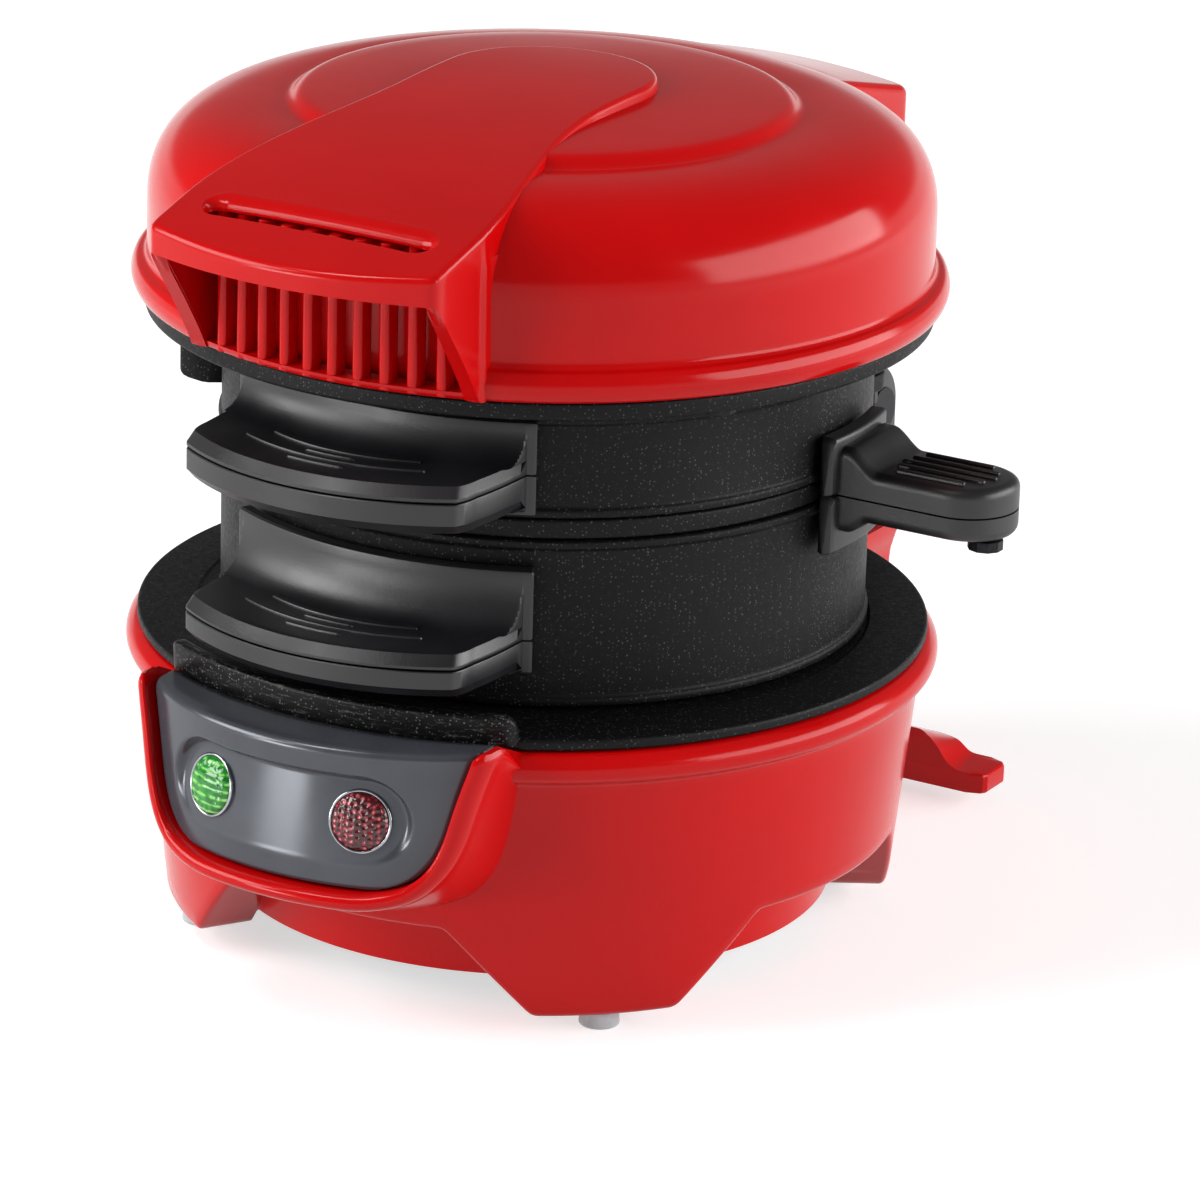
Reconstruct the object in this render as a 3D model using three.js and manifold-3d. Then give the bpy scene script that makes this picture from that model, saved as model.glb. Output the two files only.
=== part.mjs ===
// A breakfast sandwich maker: a round electric base with a heated lower plate, two stacked
// cooking rings with an egg plate between them, and a domed lid that holds the heated upper plate.
// Everything folds up about one pin at the rear. Millimetres, +Z up, the front faces -Y.

import * as THREE from 'three'
import { mergeVertices } from 'three/addons/utils/BufferGeometryUtils.js'
import Module from 'manifold-3d'

const wasm = await Module()
wasm.setup()

// Clearances
const GAP = 0.3 // between pieces that touch or run on each other
const HOLE_SLACK = 0.3 // added to the radius of a hole that a pin or screw passes

// Heights above the table, from the bottom up
const PAD_HEIGHT = 2.6
const FOOT_BOTTOM = PAD_HEIGHT + GAP
const SKIRT_BOTTOM = 6.2 // the inner skirt that shows through the arches between the feet
const WALL_BOTTOM = 17.3 // top of those arches
const BEAD_HEIGHT = 46.4
const RIM_TOP = 48.8
const PLATE_THICKNESS = 1.8
const PLATE_BOTTOM = RIM_TOP + GAP
const PLATE_TOP = PLATE_BOTTOM + PLATE_THICKNESS
const RING_HEIGHT = 26.9
const TOP_RING_HEIGHT = 16.3
const EGG_PLATE_THICKNESS = 3.1
const RING_BOTTOM = PLATE_TOP + GAP
const RING_TOP = RING_BOTTOM + RING_HEIGHT
const EGG_BOTTOM = RING_TOP + GAP
const EGG_TOP = EGG_BOTTOM + EGG_PLATE_THICKNESS
const UPPER_RING_BOTTOM = EGG_TOP + GAP
const UPPER_RING_TOP = UPPER_RING_BOTTOM + TOP_RING_HEIGHT
const PRESS_BOTTOM = UPPER_RING_TOP + GAP // underside of the upper plate's raised disc
const PRESS_STEP = 3 // height of that disc
const FLANGE_THICKNESS = 2.8
const FLANGE_BOTTOM = PRESS_BOTTOM + PRESS_STEP
const LID_BOTTOM = FLANGE_BOTTOM + FLANGE_THICKNESS + GAP

// Base housing
const FOOT_RADIUS = 58.9
const WALL_TOP_RADIUS = 62.8
const WALL_TOP_HEIGHT = 41
const BEAD_RADIUS = 65.7
const BASE_WALL = 2.2
const SKIRT_RADIUS = 50
const FOOT_ANGLE = 43.5 // of a front foot's middle, from the front
const REAR_FOOT_ANGLE = 132
const FOOT_HALF_WIDTH = 11.8
const FOOT_FLARE = 14 // how much wider each flank is where it meets the wall
const PLATE_RADIUS = 63.9
const LIP_HALF_ANGLE = 29.5
const LIP_HEIGHT = 4
const LIP_INNER_RADIUS = 61
const LIP_RADIUS = 65.5

// Front panel: its face is part of an upright cylinder
const PANEL_RADIUS = 46
const PANEL_AXIS_Y = -29.6
const PANEL_THICKNESS = 2.1
const PANEL_TOP = 50.8
const FRAME_PROUD = 2.5 // how far the red frame stands out from the panel's face
const FRAME_TOP = 51.8
const LAMP_ANGLE = 17.7 // of each lamp from the front, about the panel's axis
const LAMP_HEIGHT = 39
const LENS_RADIUS = 5
const LAMP_BODY_RADIUS = 4
const LAMP_BODY_LENGTH = 12

// Rings
const RING_AXIS_Y = 3
const RING_RADIUS = 52.2
const RING_WALL = 2.6
const RING_LIP = 0.5
const RING_LIP_HEIGHT = 1.2
const GRIP_FLANGE_THICKNESS = 2.3
const GRIP_FLANGE_HALF_ANGLE = 29
const GRIP_HALF_WIDTH = 25.2
const GRIP_FRONT_HALF_WIDTH = 24.4
const GRIP_FRONT_Y = -71.5
const GRIP_ARC_RADIUS = 43
const GRIP_CHAMFER = 1.6
const GRIP_TANG_HALF_WIDTH = 9
const GRIP_TANG_THICKNESS = 2
const GRIP_TANG_REACH = 11

// Egg plate and its swing
const PIVOT_X = 28
const PIVOT_Y = 55
const PIVOT_BOSS_RADIUS = 5
const PIVOT_PIN_RADIUS = 2.2
const PIVOT_HEAD_RADIUS = 4
const PIVOT_HEAD_HEIGHT = 2
const EGG_RADIUS = 52.3
const EGG_DISH_DEPTH = 1.3
const EGG_GRIP_Y = 7
const EGG_GRIP_TIP_X = 82.1
const EGG_GRIP_ROOT_X = 55
const EGG_GRIP_WIDTH = 16.4
const EGG_GRIP_THICKNESS = 8.9
const EGG_GRIP_CHAMFER = 1.2
const EGG_FLANGE_HEIGHT = 19
const EGG_FLANGE_WIDTH = 21

// Hinge at the rear
const HINGE_Y = 79.5
const HINGE_Z = 66.5
const HINGE_PIN_RADIUS = 2.5
const KNUCKLE_RADIUS = 6
const EAR_RADIUS = 7.5
const EAR_OUTER_X = 19.5
const EAR_THICKNESS = 3.1
const ARM_THICKNESS = 3.5
const ARM_GAP = 0.9
const PEDESTAL_TOP = 45.5
const PEDESTAL_HALF_WIDTH = 20
const PEDESTAL_FLARE = 1.3
const REAR_FOOT_REACH = 45.4
const REAR_FOOT_FRONT_Y = 75.5
const REAR_FOOT_REAR_Y = 84.7
const REAR_FOOT_TONGUE = 3.6
const REAR_FOOT_CHAMFER = 2.6

// Lid
const LID_RADIUS = 62.4
const LID_BEAD_RADIUS = 65
const LID_WALL = 2.4
const SHOULDER_HEIGHT = LID_BOTTOM + 13.9
const DOME_EDGE_RADIUS = 41
const DOME_EDGE_HEIGHT = SHOULDER_HEIGHT + 15.8
const DISC_RADIUS = 40.2
const DISC_EDGE_HEIGHT = DOME_EDGE_HEIGHT + 1.9
const DISC_CROWN_HEIGHT = DISC_EDGE_HEIGHT + 1.3
const STRAP_HALF_WIDTH = 17.6
const STRAP_PEAK_HEIGHT = DISC_CROWN_HEIGHT + 1.8
const STRAP_PEAK_Y = 4
const STRAP_CURVE_RADIUS = 245
const STRAP_FLARE_Y = -20
const LID_GRIP_HALF_WIDTH = 25.6
const LID_GRIP_FRONT_Y = -77.3
const LID_GRIP_SAGITTA = 4.9 // how far the middle of its front stands before the corners
const LID_GRIP_LIP_BOTTOM = SHOULDER_HEIGHT + 3.9
const TAIL_HALF_WIDTH = 25.5
const TAIL_REAR_Y = 76
const TAIL_REAR_HEIGHT = DOME_EDGE_HEIGHT - 9.6
const TAIL_ROOT_Y = 40
const TAIL_ROOT_HEIGHT = DOME_EDGE_HEIGHT - 0.8
const TAIL_CROWN = 2.2 // how much higher its middle is than its sides
const TAIL_CHAMFER = 1.5
const SLAT_COUNT = 10
const SLAT_PITCH = 4.37
const SLAT_WIDTH = 2
const SLAT_RADIUS = 64.6
const SLAT_DEPTH = 3.1
const SLAT_BOTTOM = LID_BOTTOM + 1.4
const SLOT_HALF_LENGTH = 19.8
const SLOT_WIDTH = 4.4
const SLOT_Y = -65

// Heating parts
const ELEMENT_RADIUS = 3.2
const ELEMENT_LOOP_RADIUS = 38
const ELEMENT_SPAN = 320 // degrees of loop
const SHIELD_RADIUS = 55
const SHIELD_THICKNESS = 1
const SHIELD_HOLE_RADIUS = 14
const PAN_THICKNESS = 1.5
const PAN_RADIUS = SKIRT_RADIUS - BASE_WALL - GAP
const BOSS_RADIUS = 3.4
const BASE_BOSS_CIRCLE = 41
const SCREW_RADIUS = 1.4
const SCREW_HEAD_RADIUS = 2.8
const SCREW_HEAD_HEIGHT = 1.6
const THERMOSTAT_RADIUS = 8
const THERMOSTAT_HEIGHT = 7.5
const GLAND_Z = 24
const GLAND_RADIUS = 5
const GLAND_REACH = 6 // how far it stands out behind the pedestal
const GLAND_DEPTH = 8 // how far its neck reaches into the pedestal
const FUSE_RADIUS = 2
const FUSE_LENGTH = 18
const BLOCK_LENGTH = 26
const BLOCK_WIDTH = 12
const BLOCK_HEIGHT = 10.7
const BEYOND = 200 // size of a cutter that has to pass through everything

// Facets
const FINE = 48
const MEDIUM = 32
const COARSE = 16
const SMALL = 10

const RED = { color: 0xc90d10, roughness: 0.2, metalness: 0 }
const BLACK_PLASTIC = { color: 0x1b1b1e, roughness: 0.45, metalness: 0 }
const BLACK_COATING = { color: 0x18181a, roughness: 0.55, metalness: 0.2 }
const GREY_PLASTIC = { color: 0x5d6068, roughness: 0.25, metalness: 0 }
const STEEL = { color: 0xb4b6b8, roughness: 0.35, metalness: 1 }
const RUBBER = { color: 0xb9bcc0, roughness: 0.6, metalness: 0 }
const GREEN_LENS = { color: 0x1f9a2e, roughness: 0.15, metalness: 0 }
const RED_LENS = { color: 0x7c1220, roughness: 0.15, metalness: 0 }
const CREAM = { color: 0xd9d2bf, roughness: 0.6, metalness: 0 }

const radians = (degrees) => degrees * Math.PI / 180

// A point at a radius and an angle from the front, where a positive angle turns towards +X
function around(radius, angle, centreY = 0) {
  return [radius * Math.sin(radians(angle)), centreY - radius * Math.cos(radians(angle))]
}

// Turns a closed geometry into a solid that can be joined and cut
function solid(geometry) {
  const bare = new THREE.BufferGeometry()
  bare.setAttribute('position', geometry.getAttribute('position').clone())
  if (geometry.index) bare.setIndex(geometry.index.clone())
  const welded = mergeVertices(bare, 1e-4)
  const points = welded.getAttribute('position').array
  const corner = (i) => new THREE.Vector3().fromArray(points, 3 * i)
  const faces = []
  let volume = 0
  for (let i = 0; i < welded.index.count; i += 3) {
    const [a, b, c] = welded.index.array.slice(i, i + 3)
    if (a === b || b === c || c === a) continue
    faces.push([a, b, c])
    volume += corner(a).dot(corner(b).cross(corner(c)))
  }
  const outward = volume > 0 ? faces : faces.map(([a, b, c]) => [a, c, b])
  return new wasm.Manifold(new wasm.Mesh({
    numProp: 3,
    vertProperties: new Float32Array(points),
    triVerts: new Uint32Array(outward.flat()),
  }))
}

const join = (...solids) => solids.reduce((whole, piece) => whole.add(piece))

// A turned solid about the vertical axis, from [radius, height] pairs that close on themselves
function turned(profile, segments = FINE, centreY = 0) {
  const points = [...profile, profile[0]].map(([r, z]) => new THREE.Vector2(r, z))
  const geometry = new THREE.LatheGeometry(points, segments)
  return solid(geometry.rotateX(Math.PI / 2).translate(0, centreY, 0))
}

function outline(points) {
  return new THREE.Shape(points.map(([x, y]) => new THREE.Vector2(x, y)))
}

function extruded(shape, depth, curveSegments = COARSE) {
  return new THREE.ExtrudeGeometry(shape, { depth, bevelEnabled: false, curveSegments })
}

// An upright prism of a plan outline
function upright(shape, bottom, top, curveSegments) {
  return solid(extruded(shape, top - bottom, curveSegments).translate(0, 0, bottom))
}

// A prism of a side outline in [y, z], carried along X
function sideways(points, fromX, toX) {
  const basis = new THREE.Matrix4().makeBasis(
    new THREE.Vector3(0, 1, 0), new THREE.Vector3(0, 0, 1), new THREE.Vector3(1, 0, 0))
  return solid(extruded(outline(points), toX - fromX).applyMatrix4(basis).translate(fromX, 0, 0))
}

// A prism of a front outline in [x, z], carried along Y
function frontways(points, fromY, toY) {
  const geometry = extruded(outline(points), toY - fromY).rotateX(Math.PI / 2)
  return solid(geometry.translate(0, toY, 0))
}

function box(fromX, toX, fromY, toY, fromZ, toZ) {
  const geometry = new THREE.BoxGeometry(toX - fromX, toY - fromY, toZ - fromZ)
  return solid(geometry.translate((fromX + toX) / 2, (fromY + toY) / 2, (fromZ + toZ) / 2))
}

function post(x, y, radius, bottom, top, segments = SMALL) {
  const geometry = new THREE.CylinderGeometry(radius, radius, top - bottom, segments)
  return solid(geometry.rotateX(Math.PI / 2).translate(x, y, (bottom + top) / 2))
}

function disc(radius, bottom, top, centreY = 0, segments = FINE) {
  return post(0, centreY, radius, bottom, top, segments)
}

// A round bar along X
function crossBar(y, z, radius, fromX, toX, segments = COARSE) {
  const geometry = new THREE.CylinderGeometry(radius, radius, toX - fromX, segments)
  return solid(geometry.rotateZ(Math.PI / 2).translate((fromX + toX) / 2, y, z))
}

// A piece of a ring between two angles from the front
function sector(inner, outer, fromAngle, toAngle, bottom, top, centreY = 0, steps = COARSE) {
  const angles = Array.from({ length: steps + 1 },
    (_, i) => fromAngle + (toAngle - fromAngle) * i / steps)
  const outside = angles.map((angle) => around(outer, angle, centreY))
  const inside = angles.map((angle) => around(inner, angle, centreY)).reverse()
  return upright(outline([...outside, ...inside]), bottom, top)
}

// The smallest convex outline round a set of flat points
function hull(points) {
  const sorted = [...points].sort((p, q) => p[0] - q[0] || p[1] - q[1])
  const turn = (o, a, b) => (a[0] - o[0]) * (b[1] - o[1]) - (a[1] - o[1]) * (b[0] - o[0])
  const half = (list) => {
    const chain = []
    for (const p of list) {
      while (chain.length > 1 && turn(chain.at(-2), chain.at(-1), p) <= 0) chain.pop()
      chain.push(p)
    }
    return chain.slice(0, -1)
  }
  return [...half(sorted), ...half([...sorted].reverse())]
}

function circle(x, y, radius, steps = COARSE) {
  return Array.from({ length: steps }, (_, i) => {
    const angle = 2 * Math.PI * i / steps
    return [x + radius * Math.cos(angle), y + radius * Math.sin(angle)]
  })
}

// A solid between two [x, z] outlines with the same number of points, one at each end in Y
function lofted(front, rear, fromY, toY) {
  const depth = toY - fromY
  const geometry = extruded(outline(front), depth, 1)
  const position = geometry.getAttribute('position')
  for (let i = 0; i < position.count; i += 1) {
    if (position.getZ(i) < depth / 2) continue
    const nearest = front.findIndex(([x, z]) =>
      Math.hypot(x - position.getX(i), z - position.getY(i)) < 1e-3)
    position.setXY(i, ...rear[nearest])
  }
  const basis = new THREE.Matrix4().makeBasis(
    new THREE.Vector3(1, 0, 0), new THREE.Vector3(0, 0, 1), new THREE.Vector3(0, 1, 0))
  return solid(geometry.applyMatrix4(basis).translate(0, fromY, 0))
}

const part = new THREE.Group()

function place(name, finish, shape, parent = part) {
  const { vertProperties, triVerts } = shape.getMesh()
  const geometry = new THREE.BufferGeometry()
  geometry.setAttribute('position', new THREE.BufferAttribute(new Float32Array(vertProperties), 3))
  geometry.setIndex(new THREE.BufferAttribute(new Uint32Array(triVerts), 1))
  geometry.computeVertexNormals()
  const mesh = new THREE.Mesh(geometry, new THREE.MeshStandardMaterial(finish))
  mesh.name = name
  parent.add(mesh)
  return mesh
}

// Radius of the base's tapered outer wall at a height
function wallRadius(z) {
  const taper = (WALL_TOP_RADIUS - FOOT_RADIUS) / (WALL_TOP_HEIGHT - FOOT_BOTTOM)
  return FOOT_RADIUS + taper * (z - FOOT_BOTTOM)
}

const FRAME_RADIUS = PANEL_RADIUS + FRAME_PROUD
const RIM_INNER_RADIUS = wallRadius(RIM_TOP) - BASE_WALL
const NOSE_CLEAR_RADIUS = LIP_RADIUS + 2 * GAP // keeps the nose off the plate and its lip

// Half of the panel's outline as [x, z], from its top corner down to the bottom middle
const PANEL_OUTLINE = [[29.8, PANEL_TOP], [28.3, 46.5], [27.2, 42], [26.2, 37], [24.4, 32.6],
  [21, 29.4], [15, 28]]
const PANEL_BOTTOM = PANEL_OUTLINE.at(-1)[1]
const FRAME_EDGE = 3.4 // width of the frame beside and under the panel

function mirrored(half) {
  return [...half, ...half.map(([x, z]) => [-x, z]).reverse()]
}

// The half outline moved out by a distance, square to each of its edges, and up to a top level
function grown(half, distance, top) {
  const moved = half.map((point, i) => {
    const before = half[Math.max(i - 1, 0)]
    const after = half[Math.min(i + 1, half.length - 1)]
    const along = new THREE.Vector2(after[0] - before[0], after[1] - before[1]).normalize()
    return [point[0] - along.y * distance, point[1] + along.x * distance]
  })
  const [first, second] = moved
  const reach = (top - first[1]) / (first[1] - second[1])
  moved[0] = [first[0] + (first[0] - second[0]) * reach, top]
  moved[moved.length - 1][1] = half.at(-1)[1] - distance
  return moved
}

const FOOT_TOP = WALL_BOTTOM + 0.5 // the feet run a little up into the wall
const SHELF_TOP = WALL_BOTTOM + BASE_WALL // the shelf that joins the wall to the skirt
const SKIRT_INNER_RADIUS = SKIRT_RADIUS - BASE_WALL

// The feet's flanks slope, so each foot is a wedge cut out of a heavy turned ring
function footWedge(angle) {
  const flank = FOOT_HALF_WIDTH + FOOT_FLARE
  const wedge = frontways([
    [-FOOT_HALF_WIDTH, FOOT_BOTTOM - 1], [FOOT_HALF_WIDTH, FOOT_BOTTOM - 1],
    [FOOT_HALF_WIDTH, FOOT_BOTTOM], [flank, FOOT_TOP], [-flank, FOOT_TOP],
    [-FOOT_HALF_WIDTH, FOOT_BOTTOM],
  ], -BEAD_RADIUS, -SKIRT_RADIUS + 12)
  return wedge.rotate([0, 0, angle])
}

const FOOT_ANGLES = [FOOT_ANGLE, -FOOT_ANGLE, REAR_FOOT_ANGLE, -REAR_FOOT_ANGLE]
const PAD_CIRCLE = (SKIRT_RADIUS + FOOT_RADIUS) / 2
const PAD_RADIUS = 3.3
const BOSS_ANGLES = [70, -70, 145, -145]
const BASE_BOSS_TOP = 37
const PAN_BOTTOM = SKIRT_BOTTOM + 2.5
const PAN_TOP = PAN_BOTTOM + PAN_THICKNESS
const BOSS_BOTTOM = PAN_TOP + GAP
const SCREW_LENGTH = 12

function baseFeet() {
  const stock = turned([
    [SKIRT_RADIUS - 1, FOOT_BOTTOM], [FOOT_RADIUS, FOOT_BOTTOM],
    [wallRadius(FOOT_TOP), FOOT_TOP], [SKIRT_RADIUS - 1, FOOT_TOP],
  ])
  return stock.intersect(join(...FOOT_ANGLES.map(footWedge)))
}

function baseBosses() {
  const bosses = BOSS_ANGLES.map((angle) => {
    const [x, y] = around(BASE_BOSS_CIRCLE, angle)
    const rib = (reach, bottom) => sector(BASE_BOSS_CIRCLE, reach, angle - 1.5, angle + 1.5,
      bottom, BASE_BOSS_TOP, 0, 1)
    return join(post(x, y, BOSS_RADIUS, BOSS_BOTTOM, BASE_BOSS_TOP),
      rib(SKIRT_RADIUS - BASE_WALL / 2, BOSS_BOTTOM),
      rib(wallRadius(SHELF_TOP) - BASE_WALL / 2, SHELF_TOP - BASE_WALL / 2))
  })
  const holes = BOSS_ANGLES.map((angle) => {
    const [x, y] = around(BASE_BOSS_CIRCLE, angle)
    return post(x, y, SCREW_RADIUS + HOLE_SLACK, BOSS_BOTTOM - 1, BOSS_BOTTOM + SCREW_LENGTH)
  })
  return { bosses: join(...bosses), holes: join(...holes) }
}

// The nose carries the U-shaped frame round the panel and slopes back into the wall below it
function noseBlock() {
  const front = mirrored(grown(PANEL_OUTLINE, FRAME_EDGE - 0.6, FRAME_TOP))
  const drop = 5 // the underside falls this far on its way back to the wall
  const rear = mirrored(grown(PANEL_OUTLINE, FRAME_EDGE - 1, FRAME_TOP).map(([x, z]) =>
    [x, z - drop * (FRAME_TOP - z) / (FRAME_TOP - PANEL_BOTTOM)]))
  const frontY = PANEL_AXIS_Y - FRAME_RADIUS
  const wedge = lofted(front, rear, frontY, frontY + 27)
  const face = disc(FRAME_RADIUS, 0, FRAME_TOP + 1, PANEL_AXIS_Y)
  return wedge.intersect(face)
}

function panelPocket() {
  const opening = frontways(mirrored(grown(PANEL_OUTLINE, GAP, FRAME_TOP + 2)), -90, PANEL_AXIS_Y)
  const back = disc(PANEL_RADIUS - PANEL_THICKNESS - GAP, 0, RIM_TOP, PANEL_AXIS_Y)
  return opening.subtract(back)
}

// Space behind the panel for the lamps and their wires
function lampCavity() {
  const inner = grown(PANEL_OUTLINE, -3, PANEL_TOP - 5)
  const hollow = frontways(mirrored(inner), -90, -48)
  return hollow.intersect(disc(PANEL_RADIUS, 0, FRAME_TOP, PANEL_AXIS_Y))
}

function pedestal() {
  const profile = [
    [-PEDESTAL_HALF_WIDTH, FOOT_BOTTOM], [PEDESTAL_HALF_WIDTH, FOOT_BOTTOM],
    [PEDESTAL_HALF_WIDTH, PEDESTAL_TOP - 7], [PEDESTAL_HALF_WIDTH + PEDESTAL_FLARE, PEDESTAL_TOP - 3],
    [PEDESTAL_HALF_WIDTH + PEDESTAL_FLARE, PEDESTAL_TOP],
    [-PEDESTAL_HALF_WIDTH - PEDESTAL_FLARE, PEDESTAL_TOP],
    [-PEDESTAL_HALF_WIDTH - PEDESTAL_FLARE, PEDESTAL_TOP - 3], [-PEDESTAL_HALF_WIDTH, PEDESTAL_TOP - 7],
  ]
  const block = frontways(profile, wallRadius(FOOT_BOTTOM) - 4, PEDESTAL_REAR_Y)
  const inside = (fromY, bottom) => box(-PEDESTAL_HALF_WIDTH + BASE_WALL,
    PEDESTAL_HALF_WIDTH - BASE_WALL, fromY, PEDESTAL_REAR_Y - BASE_WALL,
    bottom, PEDESTAL_TOP - BASE_WALL)
  const hollow = inside(SKIRT_RADIUS - 10, SHELF_TOP).add(
    inside(wallRadius(FOOT_BOTTOM) - 4 + BASE_WALL, FOOT_BOTTOM + BASE_WALL))
  return { block, hollow }
}

const PEDESTAL_REAR_Y = HINGE_Y + EAR_RADIUS

// A low bar behind the base that keeps it from tipping when the lid is open
function rearFoot() {
  const base = [
    [REAR_FOOT_REACH, FOOT_BOTTOM + REAR_FOOT_TONGUE], [REAR_FOOT_REACH, FOOT_BOTTOM],
  ]
  const front = [[32.4, 12.3], [35, 11.3], [37.4, 8.4], [39.8, FOOT_BOTTOM + REAR_FOOT_TONGUE], ...base]
  const rear = [[32, 8.8], [35.3, 8.5], [37, 7.2], [38, FOOT_BOTTOM + REAR_FOOT_TONGUE], ...base]
  const bar = lofted(mirrored(front), mirrored(rear), REAR_FOOT_FRONT_Y, REAR_FOOT_REAR_Y)
  const cornered = mirrored([
    [REAR_FOOT_REACH - REAR_FOOT_CHAMFER, REAR_FOOT_FRONT_Y],
    [REAR_FOOT_REACH, REAR_FOOT_FRONT_Y + REAR_FOOT_CHAMFER],
    [REAR_FOOT_REACH, REAR_FOOT_REAR_Y - REAR_FOOT_CHAMFER],
    [REAR_FOOT_REACH - REAR_FOOT_CHAMFER, REAR_FOOT_REAR_Y],
  ])
  return bar.intersect(upright(outline(cornered), 0, WALL_TOP_HEIGHT))
}

function baseHousing() {
  const top = WALL_TOP_HEIGHT
  const outer = [
    [SKIRT_RADIUS, SKIRT_BOTTOM], [SKIRT_RADIUS, WALL_BOTTOM],
    [wallRadius(WALL_BOTTOM), WALL_BOTTOM], [WALL_TOP_RADIUS, top],
    [WALL_TOP_RADIUS + 0.5, BEAD_HEIGHT - 3], [BEAD_RADIUS - 0.6, BEAD_HEIGHT - 1.6],
    [BEAD_RADIUS, BEAD_HEIGHT], [BEAD_RADIUS - 0.6, BEAD_HEIGHT + 1.4],
    [BEAD_RADIUS - 2, RIM_TOP], [RIM_INNER_RADIUS, RIM_TOP],
  ]
  const solidWall = turned([[0, SKIRT_BOTTOM], ...outer, [0, RIM_TOP]])
  const cavity = turned([
    [0, SKIRT_BOTTOM - 1], [SKIRT_INNER_RADIUS, SKIRT_BOTTOM - 1],
    [SKIRT_INNER_RADIUS, SHELF_TOP], [wallRadius(SHELF_TOP) - BASE_WALL, SHELF_TOP],
    [RIM_INNER_RADIUS, RIM_TOP + 1], [0, RIM_TOP + 1],
  ])
  const plateRoom = disc(NOSE_CLEAR_RADIUS, RIM_TOP, FRAME_TOP + 5)
  const { bosses, holes } = baseBosses()
  const { block, hollow } = pedestal()
  const shell = join(solidWall, noseBlock(), block)
    .subtract(plateRoom).subtract(cavity).subtract(panelPocket())
    .subtract(lampCavity()).subtract(hollow)
  const gland = frontwaysHole(0, GLAND_Z, GLAND_RADIUS - 1 + HOLE_SLACK, 60, PEDESTAL_REAR_Y + 1)
  const bracketHoles = BRACKET_SCREW_XS.map((x) =>
    post(x, HINGE_Y, SCREW_RADIUS + HOLE_SLACK, PEDESTAL_TOP - BASE_WALL - 1, PEDESTAL_TOP + 1))
  return join(shell, baseFeet(), rearFoot(), bosses)
    .subtract(holes).subtract(gland).subtract(join(...bracketHoles))
}

// A round bar along Y
function frontwaysHole(x, z, radius, fromY, toY, segments = SMALL) {
  const geometry = new THREE.CylinderGeometry(radius, radius, toY - fromY, segments)
  return solid(geometry.translate(x, (fromY + toY) / 2, z))
}

const BRACKET_SCREW_XS = [-8, 8]

place('base_housing', RED, baseHousing())

FOOT_ANGLES.forEach((angle, i) => {
  const [x, y] = around(PAD_CIRCLE, angle)
  const names = ['front_right', 'front_left', 'rear_right', 'rear_left']
  place(`foot_pad_${names[i]}`, RUBBER, post(x, y, PAD_RADIUS, 0, PAD_HEIGHT, COARSE))
})

const panHoles = BOSS_ANGLES.map((angle) => {
  const [x, y] = around(BASE_BOSS_CIRCLE, angle)
  return post(x, y, SCREW_RADIUS + HOLE_SLACK, PAN_BOTTOM - 1, PAN_TOP + 1)
})
place('bottom_pan', BLACK_COATING,
  disc(PAN_RADIUS, PAN_BOTTOM, PAN_TOP).subtract(join(...panHoles)))

function screw(x, y, headBottom, length, headDown = true) {
  const headTop = headBottom + SCREW_HEAD_HEIGHT
  const shaftBottom = headDown ? headTop : headBottom - length
  const shaftTop = headDown ? headTop + length : headBottom
  const head = post(x, y, SCREW_HEAD_RADIUS, headBottom, headTop)
  return head.add(post(x, y, SCREW_RADIUS, shaftBottom - 0.1, shaftTop + 0.1))
}

BOSS_ANGLES.forEach((angle, i) => {
  const [x, y] = around(BASE_BOSS_CIRCLE, angle)
  const headBottom = PAN_BOTTOM - GAP - SCREW_HEAD_HEIGHT
  place(`base_screw_${i + 1}`, STEEL, screw(x, y, headBottom, SCREW_LENGTH))
})

// Lower heating plate with the raised lip at the front that stops drips
function lowerPlate() {
  const plate = disc(PLATE_RADIUS, PLATE_BOTTOM, PLATE_TOP)
  const lip = sector(LIP_INNER_RADIUS, LIP_RADIUS, -LIP_HALF_ANGLE, LIP_HALF_ANGLE,
    PLATE_BOTTOM, PLATE_TOP + LIP_HEIGHT)
  const pocket = sector(LIP_INNER_RADIUS - 1, LIP_RADIUS - 2.4, -LIP_HALF_ANGLE + 1,
    LIP_HALF_ANGLE - 1, PLATE_TOP, PLATE_TOP + LIP_HEIGHT + 1)
  return plate.add(lip.subtract(pocket))
}
place('lower_heating_plate', BLACK_COATING, lowerPlate())

// A tubular element: one long loop that stops short of closing
function elementLoop(z) {
  const start = radians(-90 + (360 - ELEMENT_SPAN) / 2)
  const curve = new THREE.Curve()
  curve.getPoint = (t, target = new THREE.Vector3()) => {
    const angle = start + radians(ELEMENT_SPAN) * t
    const r = ELEMENT_LOOP_RADIUS
    return target.set(-r * Math.cos(angle), -r * Math.sin(angle), z)
  }
  const section = outline(circle(0, 0, ELEMENT_RADIUS, 8))
  return solid(new THREE.ExtrudeGeometry(section, { steps: 26, extrudePath: curve }))
}

function ringPlate(radius, bottom, top, holeRadius) {
  return disc(radius, bottom, top).subtract(disc(holeRadius, bottom - 1, top + 1, 0, COARSE))
}

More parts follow.
